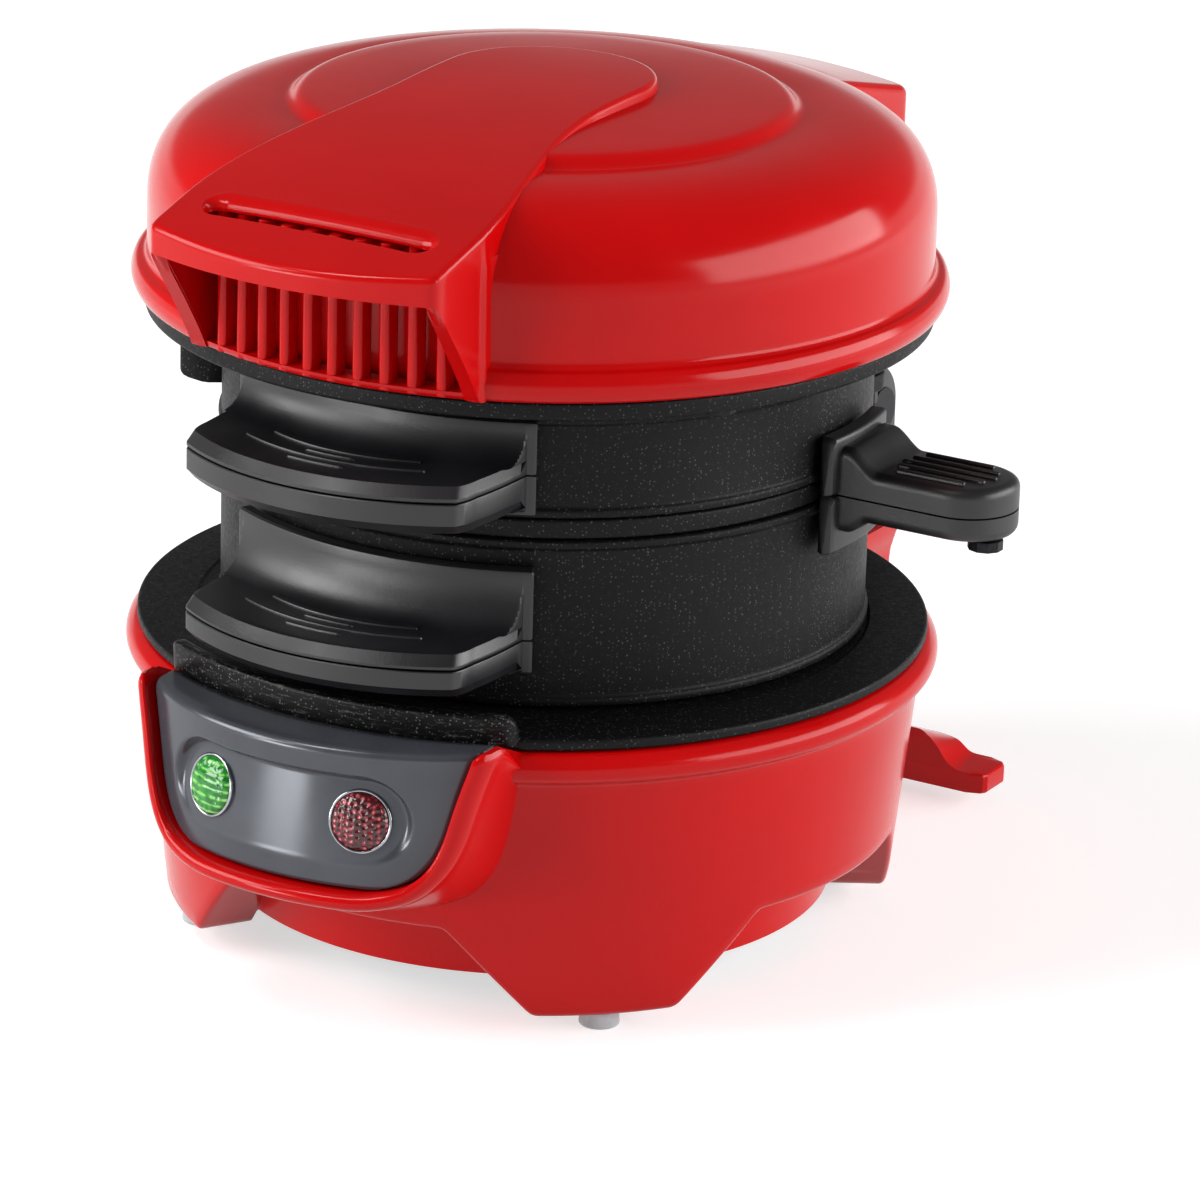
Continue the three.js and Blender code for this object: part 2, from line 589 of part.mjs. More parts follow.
const LOWER_SHIELD_BOTTOM = BASE_BOSS_TOP + GAP
place('lower_element', STEEL, elementLoop(PLATE_BOTTOM - GAP - ELEMENT_RADIUS))
place('lower_heat_shield', STEEL,
  ringPlate(SHIELD_RADIUS, LOWER_SHIELD_BOTTOM, LOWER_SHIELD_BOTTOM + SHIELD_THICKNESS,
    SHIELD_HOLE_RADIUS))
place('lower_thermostat', CREAM,
  disc(THERMOSTAT_RADIUS, PLATE_BOTTOM - GAP - THERMOSTAT_HEIGHT, PLATE_BOTTOM - GAP, 0, COARSE))
place('thermal_fuse', STEEL, crossBar(-ELEMENT_LOOP_RADIUS / 2, PLATE_BOTTOM - GAP - FUSE_RADIUS,
  FUSE_RADIUS, -FUSE_LENGTH / 2, FUSE_LENGTH / 2, SMALL))
const BLOCK_Y = 28
place('terminal_block', CREAM, box(-BLOCK_LENGTH / 2, BLOCK_LENGTH / 2, BLOCK_Y - BLOCK_WIDTH / 2,
  BLOCK_Y + BLOCK_WIDTH / 2, PAN_TOP + GAP, PAN_TOP + GAP + BLOCK_HEIGHT))

// Front panel with a shallow pill-shaped recess and two lamp holes
function lampAt(sign) {
  return around(PANEL_RADIUS, sign * LAMP_ANGLE, PANEL_AXIS_Y)
}

// A solid turned about the outward line through a lamp, from [radius, distance out] pairs
function lampTurned(sign, profile, segments = COARSE) {
  const points = [...profile, profile[0]].map(([r, d]) => new THREE.Vector2(r, d))
  const geometry = new THREE.LatheGeometry(points, segments)
  const outward = new THREE.Vector3(
    sign * Math.sin(radians(LAMP_ANGLE)), -Math.cos(radians(LAMP_ANGLE)), 0)
  const turn = new THREE.Quaternion().setFromUnitVectors(new THREE.Vector3(0, 1, 0), outward)
  const [x, y] = lampAt(sign)
  return solid(geometry.applyQuaternion(turn).translate(x, y, LAMP_HEIGHT))
}

const PILL_RADIUS = 6.9
const PILL_DEPTH = 0.8
const BEZEL_WIDTH = 0.9
const BEZEL_HEIGHT = 0.5

function pill() {
  const [reach] = lampAt(1)
  const ends = [-reach, reach].flatMap((x) => circle(x, LAMP_HEIGHT, PILL_RADIUS))
  return frontways(hull(ends), -90, PANEL_AXIS_Y)
}

function controlPanel() {
  const face = frontways(mirrored(PANEL_OUTLINE), -90, PANEL_AXIS_Y)
  const sheet = disc(PANEL_RADIUS, 0, PANEL_TOP, PANEL_AXIS_Y)
    .subtract(disc(PANEL_RADIUS - PANEL_THICKNESS, -1, PANEL_TOP + 1, PANEL_AXIS_Y))
    .intersect(face)
  const shelf = upright(outline([[-29, -58], [29, -58], [29, -90], [-29, -90]]),
    RIM_TOP + GAP, PANEL_TOP)
    .intersect(disc(PANEL_RADIUS, 0, PANEL_TOP, PANEL_AXIS_Y)).intersect(face)
    .subtract(disc(NOSE_CLEAR_RADIUS, 0, PANEL_TOP + 1))
  const recess = pill().subtract(disc(PANEL_RADIUS - PILL_DEPTH, 0, 90, PANEL_AXIS_Y))
  const bezels = [-1, 1].map((sign) => lampTurned(sign, [
    [LENS_RADIUS, -PANEL_THICKNESS + 0.5], [LENS_RADIUS + BEZEL_WIDTH, -PANEL_THICKNESS + 0.5],
    [LENS_RADIUS + BEZEL_WIDTH, BEZEL_HEIGHT - 0.3], [LENS_RADIUS + BEZEL_WIDTH - 0.3, BEZEL_HEIGHT],
    [LENS_RADIUS, BEZEL_HEIGHT],
  ]))
  const holes = [-1, 1].map((sign) => lampTurned(sign,
    [[0, -8], [LENS_RADIUS + GAP, -8], [LENS_RADIUS + GAP, 8], [0, 8]]))
  return join(sheet.subtract(recess), shelf, ...bezels).subtract(join(...holes))
}
place('control_panel', GREY_PLASTIC, controlPanel())

const lens = [[0, -2], [LENS_RADIUS, -2], [LENS_RADIUS, 0.4], [LENS_RADIUS * 0.8, 1.2],
  [LENS_RADIUS * 0.45, 1.7], [0, 1.9]]
const lampBody = [[0, -2.3 - LAMP_BODY_LENGTH], [LAMP_BODY_RADIUS, -2.3 - LAMP_BODY_LENGTH],
  [LAMP_BODY_RADIUS, -2.3], [0, -2.3]]
place('green_lamp_lens', GREEN_LENS, lampTurned(-1, lens))
place('red_lamp_lens', RED_LENS, lampTurned(1, lens))
place('green_lamp_body', CREAM, lampTurned(-1, lampBody, SMALL))
place('red_lamp_body', CREAM, lampTurned(1, lampBody, SMALL))

// Hinge bracket: two rounded ears on a web, screwed down on the pedestal
const EAR_INNER_X = EAR_OUTER_X - EAR_THICKNESS
const WEB_BOTTOM = PEDESTAL_TOP + GAP
const WEB_TOP = WEB_BOTTOM + 2.6

function hingeBracket() {
  const ear = hull([...circle(HINGE_Y, HINGE_Z, EAR_RADIUS),
    [HINGE_Y - EAR_RADIUS - 2, WEB_BOTTOM], [HINGE_Y + EAR_RADIUS, WEB_BOTTOM]])
  const web = box(-EAR_OUTER_X, EAR_OUTER_X, HINGE_Y - EAR_RADIUS, HINGE_Y + 4.5, WEB_BOTTOM, WEB_TOP)
  const pinHole = crossBar(HINGE_Y, HINGE_Z, HINGE_PIN_RADIUS + HOLE_SLACK, -30, 30)
  const screwHoles = BRACKET_SCREW_XS.map((x) =>
    post(x, HINGE_Y, SCREW_RADIUS + HOLE_SLACK, WEB_BOTTOM - 1, WEB_TOP + 1))
  return join(web, sideways(ear, -EAR_OUTER_X, -EAR_INNER_X), sideways(ear, EAR_INNER_X, EAR_OUTER_X))
    .subtract(pinHole).subtract(join(...screwHoles))
}
place('hinge_bracket', BLACK_PLASTIC, hingeBracket())
BRACKET_SCREW_XS.forEach((x, i) => {
  place(`bracket_screw_${i + 1}`, STEEL, screw(x, HINGE_Y, WEB_TOP + GAP, 8, false))
})

function hingePin() {
  const end = EAR_OUTER_X + GAP
  const shaft = crossBar(HINGE_Y, HINGE_Z, HINGE_PIN_RADIUS, -end - 0.1, end + 0.1)
  const heads = [-1, 1].map((side) => {
    const [from, to] = [side * end, side * (end + 1.2)].sort((a, b) => a - b)
    return crossBar(HINGE_Y, HINGE_Z, HINGE_PIN_RADIUS + 1.6, from, to)
  })
  return join(shaft, ...heads)
}
place('hinge_pin', STEEL, hingePin())

function cordGland() {
  const collar = frontwaysHole(0, GLAND_Z, GLAND_RADIUS + 1, PEDESTAL_REAR_Y + GAP,
    PEDESTAL_REAR_Y + GLAND_REACH, COARSE)
  const neck = frontwaysHole(0, GLAND_Z, GLAND_RADIUS - 1, PEDESTAL_REAR_Y - GLAND_DEPTH,
    PEDESTAL_REAR_Y + 1, COARSE)
  const bore = frontwaysHole(0, GLAND_Z, GLAND_RADIUS - 2.4, PEDESTAL_REAR_Y - GLAND_DEPTH - 1,
    PEDESTAL_REAR_Y + GLAND_REACH + 1, COARSE)
  return collar.add(neck).subtract(bore)
}
place('cord_gland', BLACK_PLASTIC, cordGland())

// Hinge arms: how far each pair lies from the middle, from the inside out
const LOWER_ARM_X = 2.5
const UPPER_ARM_X = LOWER_ARM_X + ARM_THICKNESS + ARM_GAP
const LID_ARM_X = UPPER_ARM_X + ARM_THICKNESS + ARM_GAP

function hingeArms(innerX, root) {
  const shape = hull([...circle(HINGE_Y, HINGE_Z, KNUCKLE_RADIUS), ...root])
  const hole = crossBar(HINGE_Y, HINGE_Z, HINGE_PIN_RADIUS + HOLE_SLACK, -30, 30)
  return join(sideways(shape, innerX, innerX + ARM_THICKNESS),
    sideways(shape, -innerX - ARM_THICKNESS, -innerX)).subtract(hole)
}

// A cooking ring is an open hoop with a thin lip at the top and bottom
function hoop(bottom, top) {
  const inner = RING_RADIUS - RING_WALL
  const lip = RING_RADIUS + RING_LIP
  return turned([
    [inner, bottom], [lip, bottom], [lip, bottom + RING_LIP_HEIGHT],
    [RING_RADIUS, bottom + RING_LIP_HEIGHT + 0.3], [RING_RADIUS, top - RING_LIP_HEIGHT - 0.3],
    [lip, top - RING_LIP_HEIGHT], [lip, top], [inner, top],
  ], FINE, RING_AXIS_Y)
}

const RING_FRONT_Y = RING_AXIS_Y - RING_RADIUS

// The ring's own tongue inside its grip, just under the level where the two halves meet
function gripTang(partingZ, slack = 0) {
  return box(-GRIP_TANG_HALF_WIDTH - slack, GRIP_TANG_HALF_WIDTH + slack,
    RING_FRONT_Y - GRIP_TANG_REACH - slack, RING_FRONT_Y + RING_WALL / 2,
    partingZ - GRIP_TANG_THICKNESS - slack, partingZ + slack)
}

// The grip's plan: two nearly straight sides and a front that follows a wide arc
function gripPlan() {
  const shape = new THREE.Shape()
  const rearY = RING_FRONT_Y + 8
  const reach = Math.asin(GRIP_FRONT_HALF_WIDTH / GRIP_ARC_RADIUS)
  const cornerY = GRIP_FRONT_Y + GRIP_ARC_RADIUS * (1 - Math.cos(reach))
  shape.moveTo(-GRIP_HALF_WIDTH, rearY)
  shape.lineTo(-GRIP_HALF_WIDTH, cornerY + 4)
  shape.lineTo(-GRIP_FRONT_HALF_WIDTH, cornerY)
  shape.absarc(0, GRIP_FRONT_Y + GRIP_ARC_RADIUS, GRIP_ARC_RADIUS,
    -Math.PI / 2 - reach, -Math.PI / 2 + reach, false)
  shape.lineTo(GRIP_HALF_WIDTH, cornerY + 4)
  shape.lineTo(GRIP_HALF_WIDTH, rearY)
  return shape
}

function gripBody(grip) {
  const bevel = { bevelEnabled: true, bevelThickness: GRIP_CHAMFER, bevelSize: GRIP_CHAMFER,
    bevelOffset: -GRIP_CHAMFER, bevelSegments: 1, curveSegments: SMALL }
  const paddle = solid(new THREE.ExtrudeGeometry(gripPlan(),
    { depth: grip.top - grip.bottom - 2 * GRIP_CHAMFER, ...bevel })
    .translate(0, 0, grip.bottom + GRIP_CHAMFER))
  const inner = RING_RADIUS + RING_LIP + GAP
  const flange = sector(inner, inner + GRIP_FLANGE_THICKNESS, -GRIP_FLANGE_HALF_ANGLE,
    GRIP_FLANGE_HALF_ANGLE, grip.flangeBottom, grip.flangeTop, RING_AXIS_Y)
  return paddle.add(flange).subtract(disc(inner, 0, BEYOND, RING_AXIS_Y))
}

function halves(body, partingZ, tangRoom) {
  const above = box(-BEYOND, BEYOND, -BEYOND, BEYOND, partingZ + GAP / 2, BEYOND)
  const below = box(-BEYOND, BEYOND, -BEYOND, BEYOND, -BEYOND, partingZ - GAP / 2)
  const cored = body.subtract(tangRoom)
  return { upper: cored.intersect(above), lower: cored.intersect(below) }
}

const GRIP_SCREW_X = 17
const GRIP_SCREW_Y = RING_FRONT_Y - 9

function gripScrewHoles(grip) {
  const screws = [-1, 1].map((side) => post(side * GRIP_SCREW_X, GRIP_SCREW_Y,
    SCREW_RADIUS + HOLE_SLACK, grip.bottom - 1, grip.parting + 1.6))
  const sinks = [-1, 1].map((side) => post(side * GRIP_SCREW_X, GRIP_SCREW_Y,
    SCREW_HEAD_RADIUS + GAP, grip.bottom - 1, grip.bottom + SCREW_HEAD_HEIGHT))
  return join(...screws, ...sinks)
}

function placeGrip(prefix, grip) {
  const { upper, lower } = halves(gripBody(grip), grip.parting,
    gripTang(grip.parting, GAP).add(gripScrewHoles(grip)))
  place(`${prefix}_grip_top`, BLACK_PLASTIC, upper)
  place(`${prefix}_grip_bottom`, BLACK_PLASTIC, lower)
  const names = ['left', 'right']
  names.forEach((name, i) => {
    const x = (2 * i - 1) * GRIP_SCREW_X
    place(`${prefix}_grip_screw_${name}`, STEEL,
      screw(x, GRIP_SCREW_Y, grip.bottom - GAP, grip.parting - grip.bottom))
  })
}

// Heights of each grip: its top and bottom, where its halves meet, and its flange on the ring
const LOWER_GRIP = { top: RING_BOTTOM + 14, bottom: RING_BOTTOM + 7.2, parting: RING_BOTTOM + 11.7,
  flangeBottom: RING_BOTTOM + 6, flangeTop: RING_TOP - 3.9 }
const UPPER_GRIP = { top: UPPER_RING_TOP - 6.2, bottom: UPPER_RING_BOTTOM + 2.6,
  parting: UPPER_RING_TOP - 8.6, flangeBottom: UPPER_RING_BOTTOM + 1.1,
  flangeTop: UPPER_RING_TOP - 0.1 }

function lowerRing() {
  const arms = hingeArms(LOWER_ARM_X, [[RING_AXIS_Y + RING_RADIUS - 1.6, RING_BOTTOM + 5],
    [RING_AXIS_Y + RING_RADIUS - 1.6, RING_TOP - 3]])
  return join(hoop(RING_BOTTOM, RING_TOP), arms,
    gripTang(LOWER_GRIP.parting))
}
place('bottom_ring', BLACK_COATING, lowerRing())
placeGrip('bottom_ring', LOWER_GRIP)

// The upper ring also holds the egg plate's pivot and a guard that hangs over the seam on the left
const GUARD_ANGLE = -71
const GUARD_HALF_ANGLE = 8
const GUARD_RADIUS = 59.5
const GUARD_BOTTOM = UPPER_RING_BOTTOM + 3.2

function upperRing() {
  const arms = hingeArms(UPPER_ARM_X, [[RING_AXIS_Y + RING_RADIUS - 2.2, UPPER_RING_BOTTOM + 3],
    [RING_AXIS_Y + RING_RADIUS - 2.2, UPPER_RING_TOP - 2]])
  const guardInner = RING_RADIUS + RING_LIP + 2 * GAP
  const guard = sector(guardInner, GUARD_RADIUS, GUARD_ANGLE - GUARD_HALF_ANGLE,
    GUARD_ANGLE + GUARD_HALF_ANGLE, GUARD_BOTTOM, UPPER_RING_TOP - 1, RING_AXIS_Y, 6)
  const guardRoot = sector(RING_RADIUS - 1, guardInner + 1, GUARD_ANGLE - GUARD_HALF_ANGLE + 1,
    GUARD_ANGLE + GUARD_HALF_ANGLE - 1, UPPER_RING_BOTTOM + 2, UPPER_RING_TOP - 2, RING_AXIS_Y, 6)
  const boss = hull([...circle(PIVOT_X, PIVOT_Y, PIVOT_BOSS_RADIUS),
    [PIVOT_X - 9, PIVOT_Y - 10.5], [PIVOT_X + 3, PIVOT_Y - 15]])
  const pivot = upright(outline(boss), UPPER_RING_BOTTOM, UPPER_RING_BOTTOM + 9)
    .subtract(disc(RING_RADIUS - RING_WALL / 2, 0, BEYOND, RING_AXIS_Y))
    .subtract(post(PIVOT_X, PIVOT_Y, PIVOT_PIN_RADIUS + HOLE_SLACK, 0, BEYOND, COARSE))
  return join(hoop(UPPER_RING_BOTTOM, UPPER_RING_TOP), arms, guard, guardRoot, pivot,
    gripTang(UPPER_GRIP.parting))
}
place('top_ring', BLACK_COATING, upperRing())
placeGrip('top_ring', UPPER_GRIP)

function eggPivotPin() {
  const head = post(PIVOT_X, PIVOT_Y, PIVOT_HEAD_RADIUS,
    EGG_BOTTOM - GAP - PIVOT_HEAD_HEIGHT, EGG_BOTTOM - GAP, COARSE)
  return head.add(post(PIVOT_X, PIVOT_Y, PIVOT_PIN_RADIUS, EGG_BOTTOM - GAP - 0.1,
    UPPER_RING_BOTTOM + 8, COARSE))
}
place('egg_pivot_pin', STEEL, eggPivotPin())

// Egg plate: a shallow dish on a swinging lug, with a tang for its handle
const EGG_MIDDLE = (EGG_BOTTOM + EGG_TOP) / 2
const EGG_TANG_THICKNESS = 1.8
const EGG_TANG_TIP_X = 73

function eggTang(slack = 0) {
  return box(EGG_RADIUS - 4, EGG_TANG_TIP_X + slack, EGG_GRIP_Y - 4 - slack, EGG_GRIP_Y + 4 + slack,
    EGG_MIDDLE - EGG_TANG_THICKNESS / 2 - slack, EGG_MIDDLE + EGG_TANG_THICKNESS / 2 + slack)
}

function eggPlate() {
  const dish = turned([
    [0, EGG_BOTTOM], [EGG_RADIUS, EGG_BOTTOM], [EGG_RADIUS, EGG_TOP],
    [EGG_RADIUS - 5, EGG_TOP], [EGG_RADIUS - 7, EGG_TOP - EGG_DISH_DEPTH],
    [0, EGG_TOP - EGG_DISH_DEPTH],
  ], FINE, RING_AXIS_Y)
  const lug = upright(outline(hull([...circle(PIVOT_X, PIVOT_Y, PIVOT_BOSS_RADIUS),
    [PIVOT_X - 12, PIVOT_Y - 12], [PIVOT_X + 6, PIVOT_Y - 22]])), EGG_BOTTOM, EGG_TOP)
    .subtract(disc(EGG_RADIUS - 3, 0, BEYOND, RING_AXIS_Y))
  const hole = post(PIVOT_X, PIVOT_Y, PIVOT_PIN_RADIUS + HOLE_SLACK, 0, BEYOND, COARSE)
  return join(dish, lug, eggTang()).subtract(hole)
}
place('egg_plate', BLACK_COATING, eggPlate())

function eggGripBody() {
  const half = EGG_GRIP_WIDTH / 2
  const shape = new THREE.Shape()
  shape.moveTo(EGG_GRIP_ROOT_X - 1, EGG_GRIP_Y - half + 0.8)
  shape.lineTo(EGG_GRIP_TIP_X - half, EGG_GRIP_Y - half)
  shape.absarc(EGG_GRIP_TIP_X - half, EGG_GRIP_Y, half, -Math.PI / 2, Math.PI / 2, false)
  shape.lineTo(EGG_GRIP_ROOT_X - 1, EGG_GRIP_Y + half - 0.8)
  const bottom = EGG_MIDDLE - EGG_GRIP_THICKNESS / 2 + 0.3
  const paddle = solid(new THREE.ExtrudeGeometry(shape, {
    depth: EGG_GRIP_THICKNESS - 2 * EGG_GRIP_CHAMFER, bevelEnabled: true,
    bevelThickness: EGG_GRIP_CHAMFER, bevelSize: EGG_GRIP_CHAMFER,
    bevelOffset: -EGG_GRIP_CHAMFER, bevelSegments: 1, curveSegments: SMALL,
  }).translate(0, 0, bottom + EGG_GRIP_CHAMFER))
  const inner = RING_RADIUS + RING_LIP + 2 * GAP
  const outer = inner + 2.6
  const spread = Math.asin(EGG_FLANGE_WIDTH / 2 / outer) * 180 / Math.PI
  const facing = 90 + Math.asin((EGG_GRIP_Y - RING_AXIS_Y) / outer) * 180 / Math.PI
  const flange = sector(inner, outer, facing - spread, facing + spread,
    EGG_MIDDLE - EGG_FLANGE_HEIGHT / 2, EGG_MIDDLE + EGG_FLANGE_HEIGHT / 2, RING_AXIS_Y)
  const root = sideways([
    [EGG_GRIP_Y - half + 0.8, bottom + 1], [EGG_GRIP_Y + half - 0.8, bottom + 1],
    [EGG_GRIP_Y + half - 0.8, EGG_MIDDLE + 6], [EGG_GRIP_Y + half - 3, EGG_MIDDLE + 8],
    [EGG_GRIP_Y - half + 3, EGG_MIDDLE + 8], [EGG_GRIP_Y - half + 0.8, EGG_MIDDLE + 6],
  ], EGG_GRIP_ROOT_X - 2, EGG_GRIP_ROOT_X + 3.2)
  return join(paddle, flange, root).subtract(disc(inner, 0, BEYOND, RING_AXIS_Y))
}

const EGG_SCREW_X = EGG_GRIP_TIP_X - 3.8
const EGG_SCREW_Y = EGG_GRIP_Y - 1.6
const eggScrewHole = post(EGG_SCREW_X, EGG_SCREW_Y, SCREW_RADIUS + HOLE_SLACK, 0, EGG_MIDDLE + 2.5)
const eggGrip = halves(eggGripBody(), EGG_MIDDLE, eggTang(GAP).add(eggScrewHole))
place('egg_grip_top', BLACK_PLASTIC, eggGrip.upper)
place('egg_grip_bottom', BLACK_PLASTIC, eggGrip.lower)
place('egg_grip_screw', STEEL, screw(EGG_SCREW_X, EGG_SCREW_Y,
  EGG_MIDDLE - EGG_GRIP_THICKNESS / 2 - SCREW_HEAD_HEIGHT, EGG_GRIP_THICKNESS / 2 + 2))

// Lid: a dome with a raised disc, a strap that runs forward into the vented grip, and a tail
const strapTop = (y) => STRAP_PEAK_HEIGHT - (y - STRAP_PEAK_Y) ** 2 / (2 * STRAP_CURVE_RADIUS)

function domeProfile(inset) {
  const steps = 8
  const profile = [[LID_RADIUS - inset, SHOULDER_HEIGHT]]
  for (let i = 1; i <= steps; i += 1) {
    const turn = Math.PI / 2 * i / steps
    const across = DOME_EDGE_RADIUS + (LID_RADIUS - DOME_EDGE_RADIUS) * Math.cos(turn) ** 0.75
    const up = SHOULDER_HEIGHT + (DOME_EDGE_HEIGHT - SHOULDER_HEIGHT) * Math.sin(turn) ** 0.85
    profile.push([across - inset * Math.cos(turn), up - inset * Math.sin(turn)])
  }
  return profile
}

function lidDome() {
  return turned([
    [0, LID_BOTTOM], [LID_BEAD_RADIUS - 1.2, LID_BOTTOM], [LID_BEAD_RADIUS - 0.3, LID_BOTTOM + 1],
    [LID_BEAD_RADIUS, LID_BOTTOM + 2.4], [LID_BEAD_RADIUS - 0.6, LID_BOTTOM + 3.8],
    [LID_RADIUS + 0.3, LID_BOTTOM + 4.8],
    ...domeProfile(0), [DISC_RADIUS, DISC_EDGE_HEIGHT - 0.5], [DISC_RADIUS - 0.8, DISC_EDGE_HEIGHT],
    [DISC_RADIUS / 2, (DISC_EDGE_HEIGHT + 3 * DISC_CROWN_HEIGHT) / 4], [0, DISC_CROWN_HEIGHT],
  ])
}

function lidHollow() {
  return turned([
    [0, LID_BOTTOM - 1], [LID_BEAD_RADIUS - 4.6, LID_BOTTOM - 1],
    ...domeProfile(LID_WALL), [0, DOME_EDGE_HEIGHT - LID_WALL + 1],
  ])
}

// The strap's plan: round at the rear, straight over the top, then wider out to the grip
function strapPlan(inset) {
  const rear = circle(0, 0, STRAP_HALF_WIDTH - inset, MEDIUM)
  const flareX = STRAP_HALF_WIDTH + 0.3 - inset
  const gripX = LID_GRIP_HALF_WIDTH - inset
  const steps = 10
  const front = Array.from({ length: steps + 1 }, (_, i) => {
    const share = -1 + 2 * i / steps
    return [share * gripX, LID_GRIP_FRONT_Y + inset + LID_GRIP_SAGITTA * share ** 2]
  })
  return outline(hull([...rear, [flareX, STRAP_FLARE_Y], [-flareX, STRAP_FLARE_Y],
    [gripX, -60], [-gripX, -60], ...front]))
}

function underStrap(inset) {
  const steps = 14
  const from = LID_GRIP_FRONT_Y - 5
  const to = STRAP_HALF_WIDTH + 2
  const top = Array.from({ length: steps + 1 }, (_, i) => {
    const y = to + (from - to) * i / steps
    return [y, strapTop(y) - inset]
  })
  return sideways([[from, LID_GRIP_LIP_BOTTOM - 60], [to, LID_GRIP_LIP_BOTTOM - 60], ...top], -40, 40)
}

function strap(inset, bottom) {
  return upright(strapPlan(inset), bottom, STRAP_PEAK_HEIGHT + 1, MEDIUM).intersect(underStrap(inset))
}

function tail(inset) {
  const half = TAIL_HALF_WIDTH - inset
  const bottom = LID_BOTTOM - (inset > 0 ? 1 : 0)
  const slope = (TAIL_ROOT_HEIGHT - TAIL_REAR_HEIGHT) / (TAIL_REAR_Y - TAIL_ROOT_Y)
  const rear = TAIL_REAR_Y - inset
  const half_outline = [0, 0.3, 0.6, 0.8, 1 - TAIL_CHAMFER / TAIL_HALF_WIDTH].map((share) =>
    [share * half, TAIL_ROOT_HEIGHT - inset + TAIL_CROWN * (1 - share ** 2)]).slice(1)
  const section = mirrored([...half_outline, [half, TAIL_ROOT_HEIGHT - inset - TAIL_CHAMFER],
    [half, bottom]])
  const block = frontways(section, TAIL_ROOT_Y, rear).warp((point) => {
    if (point[2] > SHOULDER_HEIGHT) point[2] -= slope * (point[1] - TAIL_ROOT_Y)
  })
  const edge = TAIL_REAR_HEIGHT - inset
  return block.subtract(sideways([[rear - 3, edge + 3], [rear + 1, edge - 3.5],
    [rear + 5, edge + 9], [rear - 3, edge + 9]], -BEYOND, BEYOND))
}

const SLAT_XS = Array.from({ length: SLAT_COUNT }, (_, i) => (i - (SLAT_COUNT - 1) / 2) * SLAT_PITCH)
const CHEEK_INNER_X = LID_GRIP_HALF_WIDTH - LID_WALL

// Openings between the slats, and between the last slats and the cheeks beside them
function lidVents() {
  const edges = [-CHEEK_INNER_X, ...SLAT_XS.flatMap((x) => [x - SLAT_WIDTH / 2, x + SLAT_WIDTH / 2]),
    CHEEK_INNER_X]
  const vents = Array.from({ length: SLAT_COUNT + 1 }, (_, i) =>
    box(edges[2 * i], edges[2 * i + 1], -SLAT_RADIUS - 2, -LID_RADIUS + 11, SLAT_BOTTOM,
      LID_GRIP_LIP_BOTTOM + 1))
  return join(...vents)
}

// Upright slats under the grip, from the rim up to the underside of the strap
function lidSlats() {
  const bars = SLAT_XS.map((x) => box(x - SLAT_WIDTH / 2, x + SLAT_WIDTH / 2, -SLAT_RADIUS - 1, -50,
    SLAT_BOTTOM - 1, STRAP_PEAK_HEIGHT))
  const sheet = disc(SLAT_RADIUS, SLAT_BOTTOM - 1, STRAP_PEAK_HEIGHT)
    .subtract(disc(SLAT_RADIUS - SLAT_DEPTH, 0, BEYOND))
  return join(...bars).intersect(sheet).intersect(underStrap(LID_WALL / 2))
}

// Cheeks at both ends of the slats that lean forward to the corners of the grip
function lidCheeks() {
  const cornerY = LID_GRIP_FRONT_Y + LID_GRIP_SAGITTA
  const side = [
    [cornerY, LID_GRIP_LIP_BOTTOM + 1], [cornerY, LID_GRIP_LIP_BOTTOM], [-59, LID_BOTTOM],
    [-55, LID_BOTTOM], [-55, LID_GRIP_LIP_BOTTOM + 1],
  ]
  return join(sideways(side, CHEEK_INNER_X, LID_GRIP_HALF_WIDTH),
    sideways(side, -LID_GRIP_HALF_WIDTH, -CHEEK_INNER_X)).subtract(lidHollow())
}

const LID_BOSS_CIRCLE = 56.2
const LID_BOSS_ANGLES = [60, -60, 180 - 38, -180 + 38]
const LID_SCREW_LENGTH = 13

function lidBosses() {
  const bosses = LID_BOSS_ANGLES.map((angle) => {
    const [x, y] = around(LID_BOSS_CIRCLE, angle)
    return post(x, y, BOSS_RADIUS, LID_BOTTOM + 3, SHOULDER_HEIGHT + 11)
  })
  const holes = LID_BOSS_ANGLES.map((angle) => {
    const [x, y] = around(LID_BOSS_CIRCLE, angle)
    return post(x, y, SCREW_RADIUS + HOLE_SLACK, LID_BOTTOM - 1, LID_BOTTOM + LID_SCREW_LENGTH)
  })
  return { bosses: join(...bosses), holes: join(...holes) }
}

function lidShell() {
  const slotEnds = [-1, 1].flatMap((side) =>
    circle(side * (SLOT_HALF_LENGTH - SLOT_WIDTH / 2), SLOT_Y, SLOT_WIDTH / 2, SMALL))
  const slot = upright(outline(hull(slotEnds)), strapTop(SLOT_Y) - LID_WALL - 1, STRAP_PEAK_HEIGHT)
  const gripHollow = strap(LID_WALL, LID_GRIP_LIP_BOTTOM - 1)
    .intersect(box(-BEYOND, BEYOND, -BEYOND, -40, 0, BEYOND))
  const overStrap = upright(strapPlan(0), LID_GRIP_LIP_BOTTOM, BEYOND, MEDIUM).subtract(underStrap(0))
  const { bosses, holes } = lidBosses()
  const outside = join(lidDome().subtract(overStrap), strap(0, LID_GRIP_LIP_BOTTOM), tail(0))
  const inside = join(lidHollow(), gripHollow, tail(LID_WALL))
  const shaped = outside.subtract(inside).subtract(lidVents())
  const below = disc(BEYOND, LID_BOTTOM - 20, LID_BOTTOM)
  return join(shaped, lidSlats(), lidCheeks()).subtract(slot)
    .add(bosses.intersect(lidDome())).subtract(below).subtract(holes)
}
place('lid_shell', RED, lidShell())

const FLANGE_TOP = FLANGE_BOTTOM + FLANGE_THICKNESS
const PRESS_FLOOR = PRESS_BOTTOM + 3.6
const UPPER_POSTS = [30, -30, 150, -150]
const UPPER_POST_CIRCLE = 50
const UPPER_SHIELD_BOTTOM = PRESS_FLOOR + 2 * ELEMENT_RADIUS + 3

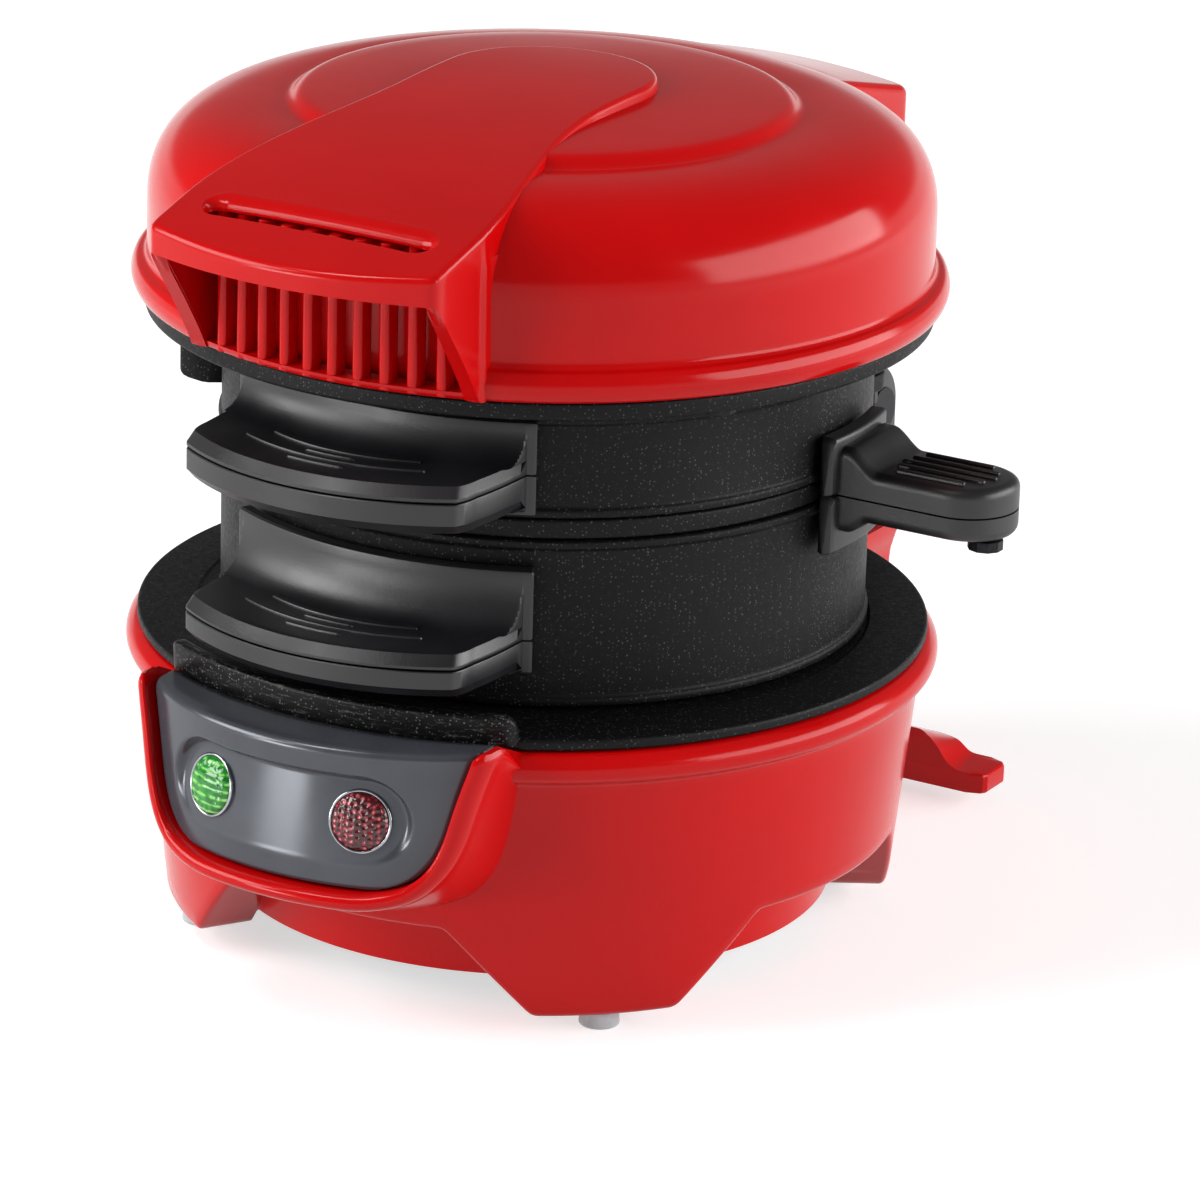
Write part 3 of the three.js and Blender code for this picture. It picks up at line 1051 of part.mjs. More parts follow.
// Upper heating plate: a round press face that closes the upper ring, with a wide flange
function upperPlate() {
  const casting = turned([
    [0, PRESS_BOTTOM], [RING_RADIUS - 0.4, PRESS_BOTTOM], [RING_RADIUS - 0.4, FLANGE_BOTTOM],
    [PLATE_RADIUS - 1.1, FLANGE_BOTTOM], [PLATE_RADIUS - 1.1, FLANGE_TOP],
    [RING_RADIUS, FLANGE_TOP], [RING_RADIUS - 1.5, PRESS_FLOOR], [0, PRESS_FLOOR],
  ])
  const posts = UPPER_POSTS.map((angle) => {
    const [x, y] = around(UPPER_POST_CIRCLE - 2, angle)
    return post(x, y, 2.4, PRESS_FLOOR - 1, UPPER_SHIELD_BOTTOM - GAP)
  })
  const holes = LID_BOSS_ANGLES.map((angle) => {
    const [x, y] = around(LID_BOSS_CIRCLE, angle)
    return post(x, y, SCREW_RADIUS + HOLE_SLACK, FLANGE_BOTTOM - 1, FLANGE_TOP + 1)
  })
  return join(casting, ...posts).subtract(join(...holes))
}
place('upper_heating_plate', BLACK_COATING, upperPlate())
place('upper_element', STEEL, elementLoop(PRESS_FLOOR + GAP + ELEMENT_RADIUS))
place('upper_heat_shield', STEEL, ringPlate(RING_RADIUS - 0.2, UPPER_SHIELD_BOTTOM,
  UPPER_SHIELD_BOTTOM + SHIELD_THICKNESS, SHIELD_HOLE_RADIUS))
place('upper_thermostat', CREAM, disc(THERMOSTAT_RADIUS, PRESS_FLOOR + GAP,
  PRESS_FLOOR + GAP + THERMOSTAT_HEIGHT, 0, COARSE))
LID_BOSS_ANGLES.forEach((angle, i) => {
  const [x, y] = around(LID_BOSS_CIRCLE, angle)
  place(`lid_screw_${i + 1}`, STEEL,
    screw(x, y, FLANGE_BOTTOM - GAP - SCREW_HEAD_HEIGHT, LID_SCREW_LENGTH))
})

// The lid's hinge bracket sits inside the tail and reaches down to the pin
function lidBracket() {
  const bottom = LID_BOTTOM + GAP
  const rear = TAIL_REAR_Y - LID_WALL - GAP
  const front = LID_BEAD_RADIUS - 0.6
  const arms = hingeArms(LID_ARM_X, [[front, bottom + 1], [rear - 1, bottom + 1]])
  const plate = box(-TAIL_HALF_WIDTH + LID_WALL + GAP, TAIL_HALF_WIDTH - LID_WALL - GAP,
    front, rear, bottom, bottom + 2.4)
  return arms.add(plate)
}
place('lid_hinge_bracket', BLACK_PLASTIC, lidBracket())

// The origin is under the middle of the whole object, on the table
const REAR_Y = PEDESTAL_REAR_Y + GLAND_REACH
const FRONT_Y = PANEL_AXIS_Y - FRAME_RADIUS
part.position.set(-(EGG_GRIP_TIP_X - BEAD_RADIUS) / 2, -(REAR_Y + FRONT_Y) / 2, 0)
part.updateMatrixWorld(true)

export default part
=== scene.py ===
# %% [markdown]
# # A breakfast sandwich maker, dressed in Blender
# The real object is a red round base with a heated plate, two black cooking rings with a swinging
# egg plate between them, and a red domed lid. Its measured solids are already made in CAD and come
# in as a fixed frame. This lesson gives each visible piece a finer surface and a true finish.
# The frame could be redrawn by hand, but loading it keeps every piece in its right place.

# %% Load the frame
import math

import bmesh
import bpy
import numpy as np
from mathutils import Matrix, Vector


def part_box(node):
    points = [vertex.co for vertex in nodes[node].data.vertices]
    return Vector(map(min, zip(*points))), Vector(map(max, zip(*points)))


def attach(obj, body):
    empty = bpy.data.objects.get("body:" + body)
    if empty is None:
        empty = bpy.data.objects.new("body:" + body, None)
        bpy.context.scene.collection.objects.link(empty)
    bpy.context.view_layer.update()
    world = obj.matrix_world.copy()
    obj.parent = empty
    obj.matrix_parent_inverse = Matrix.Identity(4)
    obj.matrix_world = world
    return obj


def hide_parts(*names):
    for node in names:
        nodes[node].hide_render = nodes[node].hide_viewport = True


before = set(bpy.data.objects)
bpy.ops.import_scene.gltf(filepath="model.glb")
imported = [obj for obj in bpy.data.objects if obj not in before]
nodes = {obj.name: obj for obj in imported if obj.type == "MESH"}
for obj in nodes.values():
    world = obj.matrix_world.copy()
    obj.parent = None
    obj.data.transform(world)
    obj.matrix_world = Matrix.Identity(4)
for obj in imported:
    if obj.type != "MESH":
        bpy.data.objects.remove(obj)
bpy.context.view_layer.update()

# %% [markdown]
# ## Measures
# The base, the lid and both heating plates are turned about one upright line, the base's axis. The
# pan that closes the base is a plain disc round that line, so its box tells where the line stands
# in the shared frame. Sizes below are in millimetres from that line and from the table, as on a
# maker's drawing, and one function brings them into the frame in metres.

# %% Find the base's axis
MM = 0.001
pan_low, pan_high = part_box("bottom_pan")
AXIS = np.array([(pan_low[0] + pan_high[0]) / 2, (pan_low[1] + pan_high[1]) / 2, 0.0])


def to_frame(points):
    """Millimetres from the base's axis become metres in the shared frame: p * 0.001 + axis."""
    return np.asarray(points, dtype=float) * MM + AXIS


print("base axis in metres:", np.round(AXIS, 5))

# %% [markdown]
# ## Camera
# A product photo like this is taken with a long lens from about a metre away, so the circles are
# nearly parallel ellipses. The camera stands on a sphere round a point above the base, turned by an
# azimuth and an elevation, then rolled a little. The picture's own offset is a small slide of the
# camera in its own plane, which keeps the lens shift at zero for the other views.

# %% Place the camera
AZIMUTH, ELEVATION, ROLL = 30.21, 19.32, 1.60
AIM_HEIGHT, DISTANCE = 66.0, 984.9
SLIDE_RIGHT, SLIDE_UP = 10.44, -14.07
FOCAL_PIXELS, PHOTO_PIXELS, SENSOR = 6114.5, 1200, 36.0

az, el, roll = (math.radians(a) for a in (AZIMUTH, ELEVATION, ROLL))
back = Vector((math.sin(az) * math.cos(el), -math.cos(az) * math.cos(el), math.sin(el)))
level_right = Vector((math.cos(az), math.sin(az), 0))
level_up = back.cross(level_right)
right = math.cos(roll) * level_right + math.sin(roll) * level_up
up = math.cos(roll) * level_up - math.sin(roll) * level_right
aim = Vector(to_frame((0, 0, AIM_HEIGHT)))
place = aim + (right * SLIDE_RIGHT + up * SLIDE_UP + back * DISTANCE) * MM

camera = bpy.data.objects.new("camera", bpy.data.cameras.new("camera"))
camera.data.sensor_width = SENSOR
camera.data.lens = FOCAL_PIXELS * SENSOR / PHOTO_PIXELS
camera.data.clip_start, camera.data.clip_end = 0.01, 50
camera.matrix_world = Matrix.Translation(place) @ Matrix((right, up, back)).transposed().to_4x4()
bpy.context.scene.collection.objects.link(camera)
bpy.context.scene.camera = camera
print("lens mm:", round(camera.data.lens, 1))

# %% [markdown]
# ## Forms worked out on grids
# A moulded shell or a casting is a smooth skin, so each form here is a sheet of points worked out
# as whole arrays. Modelling by hand with extrude and bevel would work too, but a formula keeps
# every edge exactly where the measured solid has it. A form is its points, its four-sided faces and
# the flat faces that close its ends.

# %% Grids and lofts
def grid(points, wrap_rows=False, wrap_cols=False):
    """A sheet of rows x cols points: each quad joins four neighbours, round the seam if wrapped."""
    rows, cols = points.shape[:2]
    i, j = np.meshgrid(np.arange(rows if wrap_rows else rows - 1),
                       np.arange(cols if wrap_cols else cols - 1), indexing="ij")
    i2, j2 = (i + 1) % rows, (j + 1) % cols
    quads = np.stack([i * cols + j, i2 * cols + j, i2 * cols + j2, i * cols + j2], -1)
    return points.reshape(-1, 3), quads.reshape(-1, 4), []


def loft(loops):
    """Closed loops joined one to the next, with a flat face on the first and on the last."""
    count, size = loops.shape[:2]
    points, quads, _ = grid(loops, wrap_cols=True)
    return points, quads, [np.arange(size), np.arange(size) + (count - 1) * size]


def around(angle, r, z, centre_y=0.0):
    """Points about an upright line, the angle measured from the front: x = r sin a, y = -r cos a."""
    return np.stack([r * np.sin(angle), centre_y - r * np.cos(angle), z + 0 * angle], -1)


def turned(profile, segments, centre_y=0.0):
    """A closed [radius, height] profile turned full circle about an upright line."""
    angle = np.linspace(0, 2 * np.pi, segments, endpoint=False)[:, None]
    r, z = profile.T[:, None]
    return grid(around(angle, r, z, centre_y), wrap_rows=True, wrap_cols=True)


print("grid, loft and turned are ready")

# %% [markdown]
# ## Outlines
# Plastic and cast parts have no truly sharp edge: the tool that cut the mould leaves a radius, and
# that thin curve is what catches a line of light. So outlines get rounded corners, and prisms get
# rounded rims. A Bevel modifier could do it, but an outline that is moved inwards loop by loop
# gives the same radius everywhere and stays light.

# %% Rounded outlines and prisms
def rounded(corners, radii, steps=6):
    """Each corner P becomes the curve (1-s)^2 A + 2s(1-s) P + s^2 B, with A and B a radius before and
    after P, or just under half a side where that is shorter."""
    corner = np.asarray(corners, dtype=float)
    radii = np.broadcast_to(np.asarray(radii, dtype=float), len(corner))[:, None]
    ends = []
    for neighbour in (np.roll(corner, 1, 0), np.roll(corner, -1, 0)):
        way = neighbour - corner
        length = np.linalg.norm(way, axis=1, keepdims=True)
        ends.append((corner + np.minimum(radii, 0.49 * length) * way / length)[:, None])
    s = np.linspace(0, 1, steps + 1)[None, :, None]
    return ((1 - s) ** 2 * ends[0] + 2 * s * (1 - s) * corner[:, None] + s ** 2 * ends[1]).reshape(-1, 2)


def oblong(x0, y0, x1, y1, radii, steps=6):
    """The rounded rectangle between two opposite corners."""
    return rounded([(x0, y0), (x1, y0), (x1, y1), (x0, y1)], radii, steps)


def distinct(outline, least=0.02):
    """The outline without points that lie on the one before them."""
    gap = np.linalg.norm(outline - np.roll(outline, 1, 0), axis=1)
    return outline[gap > least]


def outward(outline):
    """The mitred outward normal at each point: (n1 + n2) / (1 + n1.n2), for a closed outline."""
    step = np.roll(outline, -1, 0) - outline
    after = np.stack([step[:, 1], -step[:, 0]], 1) / np.linalg.norm(step, axis=1, keepdims=True)
    before = np.roll(after, 1, 0)
    mitre = (before + after) / (1 + (before * after).sum(1, keepdims=True)).clip(0.3)
    x, y = outline[:, 0], outline[:, 1]
    area = (x * np.roll(y, -1) - y * np.roll(x, -1)).sum()
    return mitre if area > 0 else -mitre


def rim_steps(low, high, round_low, round_high, steps=4):
    """Insets and heights up a rounded wall: r(1 - sin t) in and r(1 - cos t) along, t to 90 degrees."""
    t = np.linspace(0, np.pi / 2, steps + 1)
    foot = np.stack([round_low * (1 - np.sin(t)), low + round_low * (1 - np.cos(t))], 1)
    head = np.stack([round_high * (1 - np.sin(t)), high - round_high * (1 - np.cos(t))], 1)[::-1]
    return np.vstack([foot, head])


AXES = {"z": (0, 1, 2), "x": (2, 0, 1)}
CRISP = (0.1, 0.1)


def prism(outline, low, high, rims=(0.4, 0.4), along="z"):
    """A flat outline carried along an axis, with both rims rounded by moving the outline inwards."""
    outline = distinct(outline)
    steps = rim_steps(low, high, *rims)
    flat = outline[None] - outward(outline)[None] * steps[:, 0, None, None]
    level = np.broadcast_to(steps[:, 1, None, None], flat.shape[:2] + (1,))
    return loft(np.concatenate([flat, level], 2)[:, :, list(AXES[along])])


def arc(radius, start, stop, steps, centre=(0.0, 0.0)):
    """Points on a circle, the angle in degrees from the front towards +X: (r sin a, -r cos a)."""
    a = np.radians(np.linspace(start, stop, steps))
    return np.stack([centre[0] + radius * np.sin(a), centre[1] - radius * np.cos(a)], 1)


def hull_round(circles, steps=24):
    """The band round several circles (x, y, r): the farthest point of them in every direction."""
    a = np.linspace(0, 2 * np.pi, steps * len(circles), endpoint=False)
    unit = np.stack([np.cos(a), np.sin(a)], 1)
    middle, radius = np.array([c[:2] for c in circles], dtype=float), np.array([c[2] for c in circles])
    pick = (unit @ middle.T + radius[None]).argmax(1)
    return middle[pick] + unit * radius[pick][:, None]


print("points of a rounded 10 mm square:", len(oblong(0, 0, 10, 10, 2)))

# %% [markdown]
# ## From forms to pieces
# A piece is one object that rides on one body of the frame. Its forms are joined into one mesh,
# points that fall together are merged, faces are turned outwards, and edges sharper than a set
# angle stay crisp while the rest is shaded smooth. Setting every edge by hand is the other way.

# %% Make a piece
pieces = {}


def make_piece(name, forms, body, finish, stands_for=(), sharp=32):
    """One mesh from several forms, in metres, merged, turned outwards and shaded by angle."""
    starts = np.cumsum([0] + [len(form[0]) for form in forms])
    points = to_frame(np.vstack([form[0] for form in forms]))
    quads = np.vstack([form[1] + start for form, start in zip(forms, starts)])
    ends = [loop + start for form, start in zip(forms, starts) for loop in form[2]]
    mesh = bpy.data.meshes.new(name)
    mesh.from_pydata(points, [], quads.tolist() + [loop.tolist() for loop in ends])
    work = bmesh.new()
    work.from_mesh(mesh)
    bmesh.ops.remove_doubles(work, verts=work.verts, dist=2e-6)
    bmesh.ops.recalc_face_normals(work, faces=work.faces)
    work.to_mesh(mesh)
    work.free()
    mesh.shade_smooth()
    mesh.set_sharp_from_angle(angle=math.radians(sharp))
    obj = bpy.data.objects.new(name, mesh)
    scene.collection.objects.link(obj)
    obj.data.materials.append(finish)
    if body:
        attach(obj, body)
        pieces[name] = obj
    if stands_for:
        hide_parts(*stands_for)
    return obj


def cut_away(piece, forms, sharp=40):
    """Takes the forms out of a piece with an exact Boolean and keeps only the result."""
    cutter = make_piece(piece.name + "_cutter", forms, None, piece.data.materials[0])
    step = piece.modifiers.new("cut", "BOOLEAN")
    step.operation, step.solver, step.object = "DIFFERENCE", "EXACT", cutter
    result = bpy.data.meshes.new_from_object(piece.evaluated_get(bpy.context.evaluated_depsgraph_get()))
    piece.modifiers.clear()
    old, piece.data = piece.data, result
    bpy.data.meshes.remove(old)
    bpy.data.objects.remove(cutter)
    piece.data.shade_smooth()
    piece.data.set_sharp_from_angle(angle=math.radians(sharp))


scene = bpy.context.scene
print("pieces will join", scene.name)

# %% [markdown]
# ## Materials: a way to write them
# Every finish is a small tree of nodes: a pattern made from noise or cells, a ramp that turns it
# into a colour or roughness, and the shader. One function adds any node with its settings and
# links, so a material reads as a short list. Colours are written as the hex values a painter knows
# and turned to linear light once.

# %% Colour and node helpers
def hex_colour(code):
    """sRGB hex to linear: c / 12.92 below 0.04045, else ((c + 0.055) / 1.055) ^ 2.4."""
    c = np.array([int(code[i:i + 2], 16) for i in (1, 3, 5)]) / 255
    return (*np.where(c <= 0.04045, c / 12.92, ((c + 0.055) / 1.055) ** 2.4), 1.0)


def per_mm(size):
    """The scale of a pattern in Object coordinates, which are metres, for a size in millimetres."""
    return 1 / (size * MM)


def add_node(tree, kind, links=(), values=(), stops=(), **settings):
    """Adds a node, sets its properties, input values and stops, and links its inputs."""
    node = tree.nodes.new(kind)
    for key, value in settings.items():
        setattr(node, key, value)
    for socket, value in dict(values).items():
        node.inputs[socket].default_value = value
    for socket, source in dict(links).items():
        tree.links.new(source, node.inputs[socket])
    for _ in stops[2:]:
        node.color_ramp.elements.new(0.5)
    for number, (position, value) in enumerate(stops):
        element = node.color_ramp.elements[number]
        element.position = position
        element.color = hex_colour(value) if isinstance(value, str) else (value, value, value, 1)
    return node


class Finish:
    """A material being written: its tree, its shader and the object's own coordinates."""

    def __init__(self, name, **settings):
        self.material = bpy.data.materials.new(name)
        self.material.use_nodes = True
        self.tree = self.material.node_tree
        self.shader = self.tree.nodes["Principled BSDF"]
        self.place = self.add("ShaderNodeTexCoord").outputs["Object"]
        for socket, value in settings.items():
            self.shader.inputs[socket.replace("_", " ")].default_value = value

    def add(self, kind, *parts, **settings):
        """Adds a node to this finish's tree."""
        return add_node(self.tree, kind, *parts, **settings)

    def into(self, socket, node, output=0):
        """Links a node's output to the shader."""
        self.tree.links.new(node.outputs[output], self.shader.inputs[socket])

    def patches(self, size_mm, detail, colours, rough=()):
        """Noise patches of a real size that shift the colour and the roughness between their stops."""
        size = {"Scale": per_mm(size_mm), "Detail": detail}
        patch = self.add(NOISE, {"Vector": self.place}, size).outputs[0]
        for socket, stops in (("Base Color", colours), ("Roughness", rough)):
            if stops:
                self.into(socket, self.add(RAMP, {0: patch}, stops=stops))
        return patch


NOISE, RAMP, BUMP = "ShaderNodeTexNoise", "ShaderNodeValToRGB", "ShaderNodeBump"
print("white is", hex_colour("#FFFFFF"))

# %% [markdown]
# ## Red housing: glossy moulded ABS
# ABS comes out of a polished mould with a mirror skin that has the faintest waves, a few
# millimetres long, and no grain. Wiping leaves very light haze patches. The eye gets a deep red
# with white glints along every rounded edge. Paint would look the same but would show flakes or
# orange peel, so it stays a plain gloss with slow waves.

# %% Red gloss
red = Finish("moulded_red_abs", IOR=1.45, Specular_IOR_Level=0.24)
red.patches(26, 4, ((0.3, "#C00406"), (0.7, "#C90709")), ((0.35, 0.13), (0.7, 0.2)))
waves = red.add(NOISE, {"Vector": red.place}, {"Scale": per_mm(9), "Detail": 1}).outputs[0]
red.into("Normal", red.add(BUMP, {"Height": waves}, {"Strength": 0.25, "Distance": 0.05 * MM}))
RED = red.material
print("made", RED.name)

# %% [markdown]
# ## Black grips: satin moulded phenolic
# The grips are moulded from a heat-proof black plastic in a spark-eroded mould, which leaves a fine
# even grain about half a millimetre wide. It scatters light, so the grips look soft grey where
# light grazes them. Wiping and hands leave wide patches that are a little smoother.

# %% Satin black
black = Finish("moulded_black_satin", IOR=1.5, Specular_IOR_Level=0.6)
black.patches(14, 3, ((0.3, "#0E0E11"), (0.7, "#151518")), ((0.3, 0.33), (0.7, 0.46)))
grain = black.add(NOISE, {"Vector": black.place}, {"Scale": per_mm(0.45), "Detail": 2}).outputs[0]
black.into("Normal", black.add(BUMP, {"Height": grain}, {"Strength": 0.5, "Distance": 0.04 * MM}))
BLACK = black.material
print("made", BLACK.name)

# %% [markdown]
# ## Non-stick coating on cast aluminium
# The coating is sprayed on and baked, and the casting under it is slightly rough. Its sparkle is
# painted into the colour as pale flecks about a third of a millimetre wide: painted glints, pale in
# any light. The eye gets a near-black skin with fine stars and a soft sheen. The flecks are the
# centres of random cells, kept only where a cell's own random value is high, so they are not evenly
# spread.

# %% Non-stick with painted glints
CELL_MM, GLINT_FLECK = 0.5, 0.3


def coating(name, dark, pale, rough_low, rough_high):
    """Painted glint fleck = near the centre of a cell x the cell's chance; returns the finish and its
    colour.
    """
    coat = Finish(name, IOR=1.5, Specular_IOR_Level=0.16)
    cells = coat.add("ShaderNodeTexVoronoi", {"Vector": coat.place}, {"Scale": per_mm(CELL_MM)})
    near = coat.add(RAMP, {0: cells.outputs["Distance"]}, stops=((GLINT_FLECK * 0.7, 1.0), (GLINT_FLECK, 0.0)))
    chance = coat.add("ShaderNodeSeparateColor", {0: cells.outputs["Color"]})
    kept = coat.add(RAMP, {0: chance.outputs[0]}, stops=((0.35, 0.0), (0.95, 1.0)))
    # Each fleck is a painted glint: a pale dot in the colour that stands for the coating's sparkle.
    glint_fleck = coat.add("ShaderNodeMath", {0: near.outputs[0], 1: kept.outputs[0]}, operation="MULTIPLY")
    colour = coat.add("ShaderNodeMix", {0: glint_fleck.outputs[0]}, {6: hex_colour(dark), 7: hex_colour(pale)},
                      data_type="RGBA")
    coat.into("Base Color", colour, 2)
    skin = coat.patches(0.8, 3, (), ((0.3, rough_low), (0.7, rough_high)))
    coat.into("Normal", coat.add(BUMP, {"Height": skin}, {"Strength": 0.5, "Distance": 0.06 * MM}))
    return coat, colour.outputs[2]


# 4E4F53 is the pale colour of the painted glints.
COATED = coating("sprayed_nonstick_on_casting", "#0A0A0B", "#4E4F53", 0.44, 0.58)[0].material
print("made", COATED.name)

# %% [markdown]
# ## The streaked front lip
# The raised front lip of the lower plate shows pale grey streaks in its colour,
# in short smears along the edge.
# Streaks are noise that is stretched along the lip.

# %% Streaked lip
# 77787C is the pale colour of the lip's painted glints.
lip_coat, coated_colour = coating("streaked_nonstick_lip", "#0C0C0D", "#77787C", 0.3, 0.44)
stretch = lip_coat.add("ShaderNodeMapping", {"Vector": lip_coat.place}, {"Scale": (0.22, 1.0, 2.4)})
# Pale grey streaks, stretched along the lip, are mixed into its colour.
streak = lip_coat.add(NOISE, {"Vector": stretch.outputs[0]},
                 {"Scale": per_mm(0.9), "Detail": 5, "Roughness": 0.75})
amount = lip_coat.add(RAMP, {0: streak.outputs[0]}, stops=((0.56, 0.0), (0.76, 0.6)))
streaked = lip_coat.add("ShaderNodeMix", {0: amount.outputs[0], 6: coated_colour}, {7: hex_colour("#8C8A86")},
               data_type="RGBA")
lip_coat.into("Base Color", streaked, 2)
STREAKED_LIP = lip_coat.material
print("made", STREAKED_LIP.name)

# %% [markdown]
# ## Grey panel: gloss ABS with a metallic pigment
# The panel is moulded in a grey with fine aluminium pigment, so it is a little brighter where it
# faces the light. The skin is polished. The pigment is far finer than a pixel, so it shows only as
# a share of metal in the shader.

# %% Grey gloss
grey = Finish("moulded_grey_abs", IOR=1.53, Metallic=0.25)
grey.patches(7, 3, ((0.3, "#42454C"), (0.7, "#494C53")), ((0.3, 0.17), (0.7, 0.25)))
GREY = grey.material
print("made", GREY.name)

# %% [markdown]
# ## Plated rims, steel, ceramic and pads
# The lamp rims are bright plated, the heating loops and shields are drawn steel, the thermostats are
# pressed steatite, and the pads are a milky soft plastic. Each is a short tree of its own, because
# one grey for all of them would make the small parts look like one casting.

# %% Small finishes
rim = Finish("plated_rim", Metallic=1.0, Roughness=0.12)
rim.patches(1.5, 2, ((0.3, "#8E9095"), (0.7, "#B4B6BA")))
CHROME = rim.material

steel = Finish("drawn_steel", Metallic=1.0)
steel.patches(0.6, 4, ((0.35, "#8F9193"), (0.65, "#B9BABC")), ((0.35, 0.28), (0.65, 0.42)))
STEEL = steel.material

cream = Finish("pressed_steatite", Roughness=0.6)
chalk = cream.patches(0.9, 4, ((0.3, "#D6CFBC"), (0.7, "#E4DECD")))
cream.into("Normal", cream.add(BUMP, {"Height": chalk}, {"Strength": 0.4, "Distance": 0.05 * MM}))
CREAM = cream.material

pad = Finish("milky_soft_pad", Roughness=0.42, IOR=1.45, Subsurface_Weight=0.3,
             Subsurface_Radius=(2 * MM, 2 * MM, 2 * MM))
pad.patches(2, 2, ((0.3, "#B4B7BB"), (0.7, "#C6C8CC")))
PAD = pad.material
print("made", CHROME.name, STEEL.name, CREAM.name, PAD.name)

# %% [markdown]
# ## Lamp lenses
# Both lamps are clear coloured polycarbonate over a small light. The green one is lit, with bright
# level bars behind facets; the red one is off and shows little dimples, each with a painted pink
# glint in its middle. Real glass with a light inside would need many samples, so the glow is an
# emission that follows the pattern.

# %% Green and red lenses
green = Finish("lit_green_lens", Roughness=0.08, IOR=1.58, Emission_Strength=0.5)
spread = green.add("ShaderNodeSeparateXYZ", {0: green.place})
BAR_MM = 1.25
turn = green.add("ShaderNodeMath", {0: spread.outputs[2]}, {1: per_mm(BAR_MM) * 2 * math.pi},
                 operation="MULTIPLY").outputs[0]
bars = green.add("ShaderNodeMath", {0: turn}, operation="SINE").outputs[0]
spots = green.add(NOISE, {"Vector": green.place}, {"Scale": per_mm(1.3), "Detail": 3}).outputs[0]
mottled = green.add("ShaderNodeMath", {0: bars, 1: spots, 2: spots}, operation="MULTIPLY_ADD").outputs[0]
green.into("Base Color", green.add(RAMP, {0: spots}, stops=((0.3, "#0A5C14"), (0.7, "#1E8F26"))))
green.into("Emission Color", green.add(RAMP, {0: mottled}, stops=((0.35, "#033C08"), (0.8, "#1FA024"),
                                                                  (1.0, "#BFEF8C"))))
GREEN = green.material

ruby = Finish("dimpled_red_lens", Roughness=0.1, IOR=1.58)
dimple_and_glint = ruby.add("ShaderNodeTexVoronoi", {"Vector": ruby.place},
                  {"Scale": per_mm(0.95), "Randomness": 0.25}).outputs["Distance"]
# The pale pink at each dimple's middle is a painted glint; between the dimples the lens keeps its deep
# red.
ruby.into("Base Color", ruby.add(RAMP, {0: dimple_and_glint}, stops=((0.08, "#D07A85"), (0.3, "#961424"),
                                                           (0.5, "#400409"))))
ruby.into("Normal", ruby.add(BUMP, {"Height": dimple_and_glint}, {"Strength": 0.6, "Distance": 0.25 * MM}))
RUBY = ruby.material
print("made", GREEN.name, RUBY.name)

# %% [markdown]
# ## The base's wall
# The red base is one moulding: a tapered wall with a rolled bead at the top, arches cut between
# four feet, and an inner skirt that shows through the arches. It could be a turned form with
# Boolean cuts, but cuts leave long thin faces that spoil a gloss. Here the profile itself changes
# with the angle, because the wall's lower edge h(a) drops to the table at each foot.

# %% Wall, feet and skirt on one grid
FOOT_Z, ARCH_Z, SKIRT_Z, RIM_Z = 2.9, 17.3, 6.2, 48.8
FOOT_ANGLES = np.array([43.5, -43.5, 132.0, -132.0])
FOOT_HALF, ARCH_RISE, ARCH_RUN, ARCH_R = 11.8, 14.4, 14, 59.5
WALL_FOOT_R, WALL_HEAD_R, WALL_HEAD_Z, WALL_ROUND = 58.9, 62.8, 41, 1.0


def wall_radius(z):
    """The outer wall widens evenly from the feet to its head under the rim."""
    return WALL_FOOT_R + (WALL_HEAD_R - WALL_FOOT_R) * (z - FOOT_Z) / (WALL_HEAD_Z - FOOT_Z)


def wall_edge(angle):
    """Lower edge: FOOT_Z within FOOT_HALF of a foot's middle, then up at 46 degrees to ARCH_Z, with the
    corners averaged over nine columns."""
    turn = np.abs((angle[:, None] - FOOT_ANGLES[None] + 180) % 360 - 180).min(1)
    beside = np.radians(turn) * ARCH_R - FOOT_HALF
    height = np.clip(FOOT_Z + beside * ARCH_RISE / ARCH_RUN, FOOT_Z, ARCH_Z)
    window = np.hanning(9)
    padded = np.concatenate([height[-4:], height, height[:4]])
    return np.convolve(padded, window / window.sum(), "valid")


def base_wall(columns=900):
    """Rows are angles; each row is the closed section whose lower edge is wall_edge(angle)."""
    angle = np.linspace(-180, 180, columns, endpoint=False)
    edge = wall_edge(angle)
    head = rounded([(60.2, 30), (60.2, RIM_Z), (63.9, RIM_Z), (65.75, 47.2), (65.65, 44.6), (63.3, 43.4),
                    (WALL_HEAD_R, WALL_HEAD_Z), (wall_radius(20), 20)],
                   [0, 0.6, 0.8, 1.4, 1.2, 0.8, 2.0, 0], 5)[6:-6]
    head = np.broadcast_to(head, (columns,) + head.shape)
    start, share = WALL_HEAD_Z - 2, np.linspace(0, 1, 14)[1:]
    z = start + (edge[:, None] + WALL_ROUND - start) * share[None]
    wall = np.stack([wall_radius(z), z], -1)
    t = np.linspace(0, np.pi / 2, 5)[None, 1:]
    turn = np.stack([wall_radius(edge)[:, None] - WALL_ROUND * (1 - np.cos(t)),
                     edge[:, None] + WALL_ROUND * (1 - np.sin(t))], -1)
    inside = ((50.0, edge), (49.6, np.minimum(edge, SKIRT_Z)), (49.2, SKIRT_Z), (47.8, SKIRT_Z),
              (47.8, 19.5), (57.5, 19.6))
    skirt = np.stack([np.stack([np.full_like(edge, r), z + 0 * edge], -1) for r, z in inside], 1)
    section = np.concatenate([head, wall, turn, skirt], 1)
    return grid(around(np.radians(angle)[:, None], section[..., 0], section[..., 1]),
                wrap_rows=True, wrap_cols=True)


wall = base_wall()
print("base wall points:", len(wall[0]))

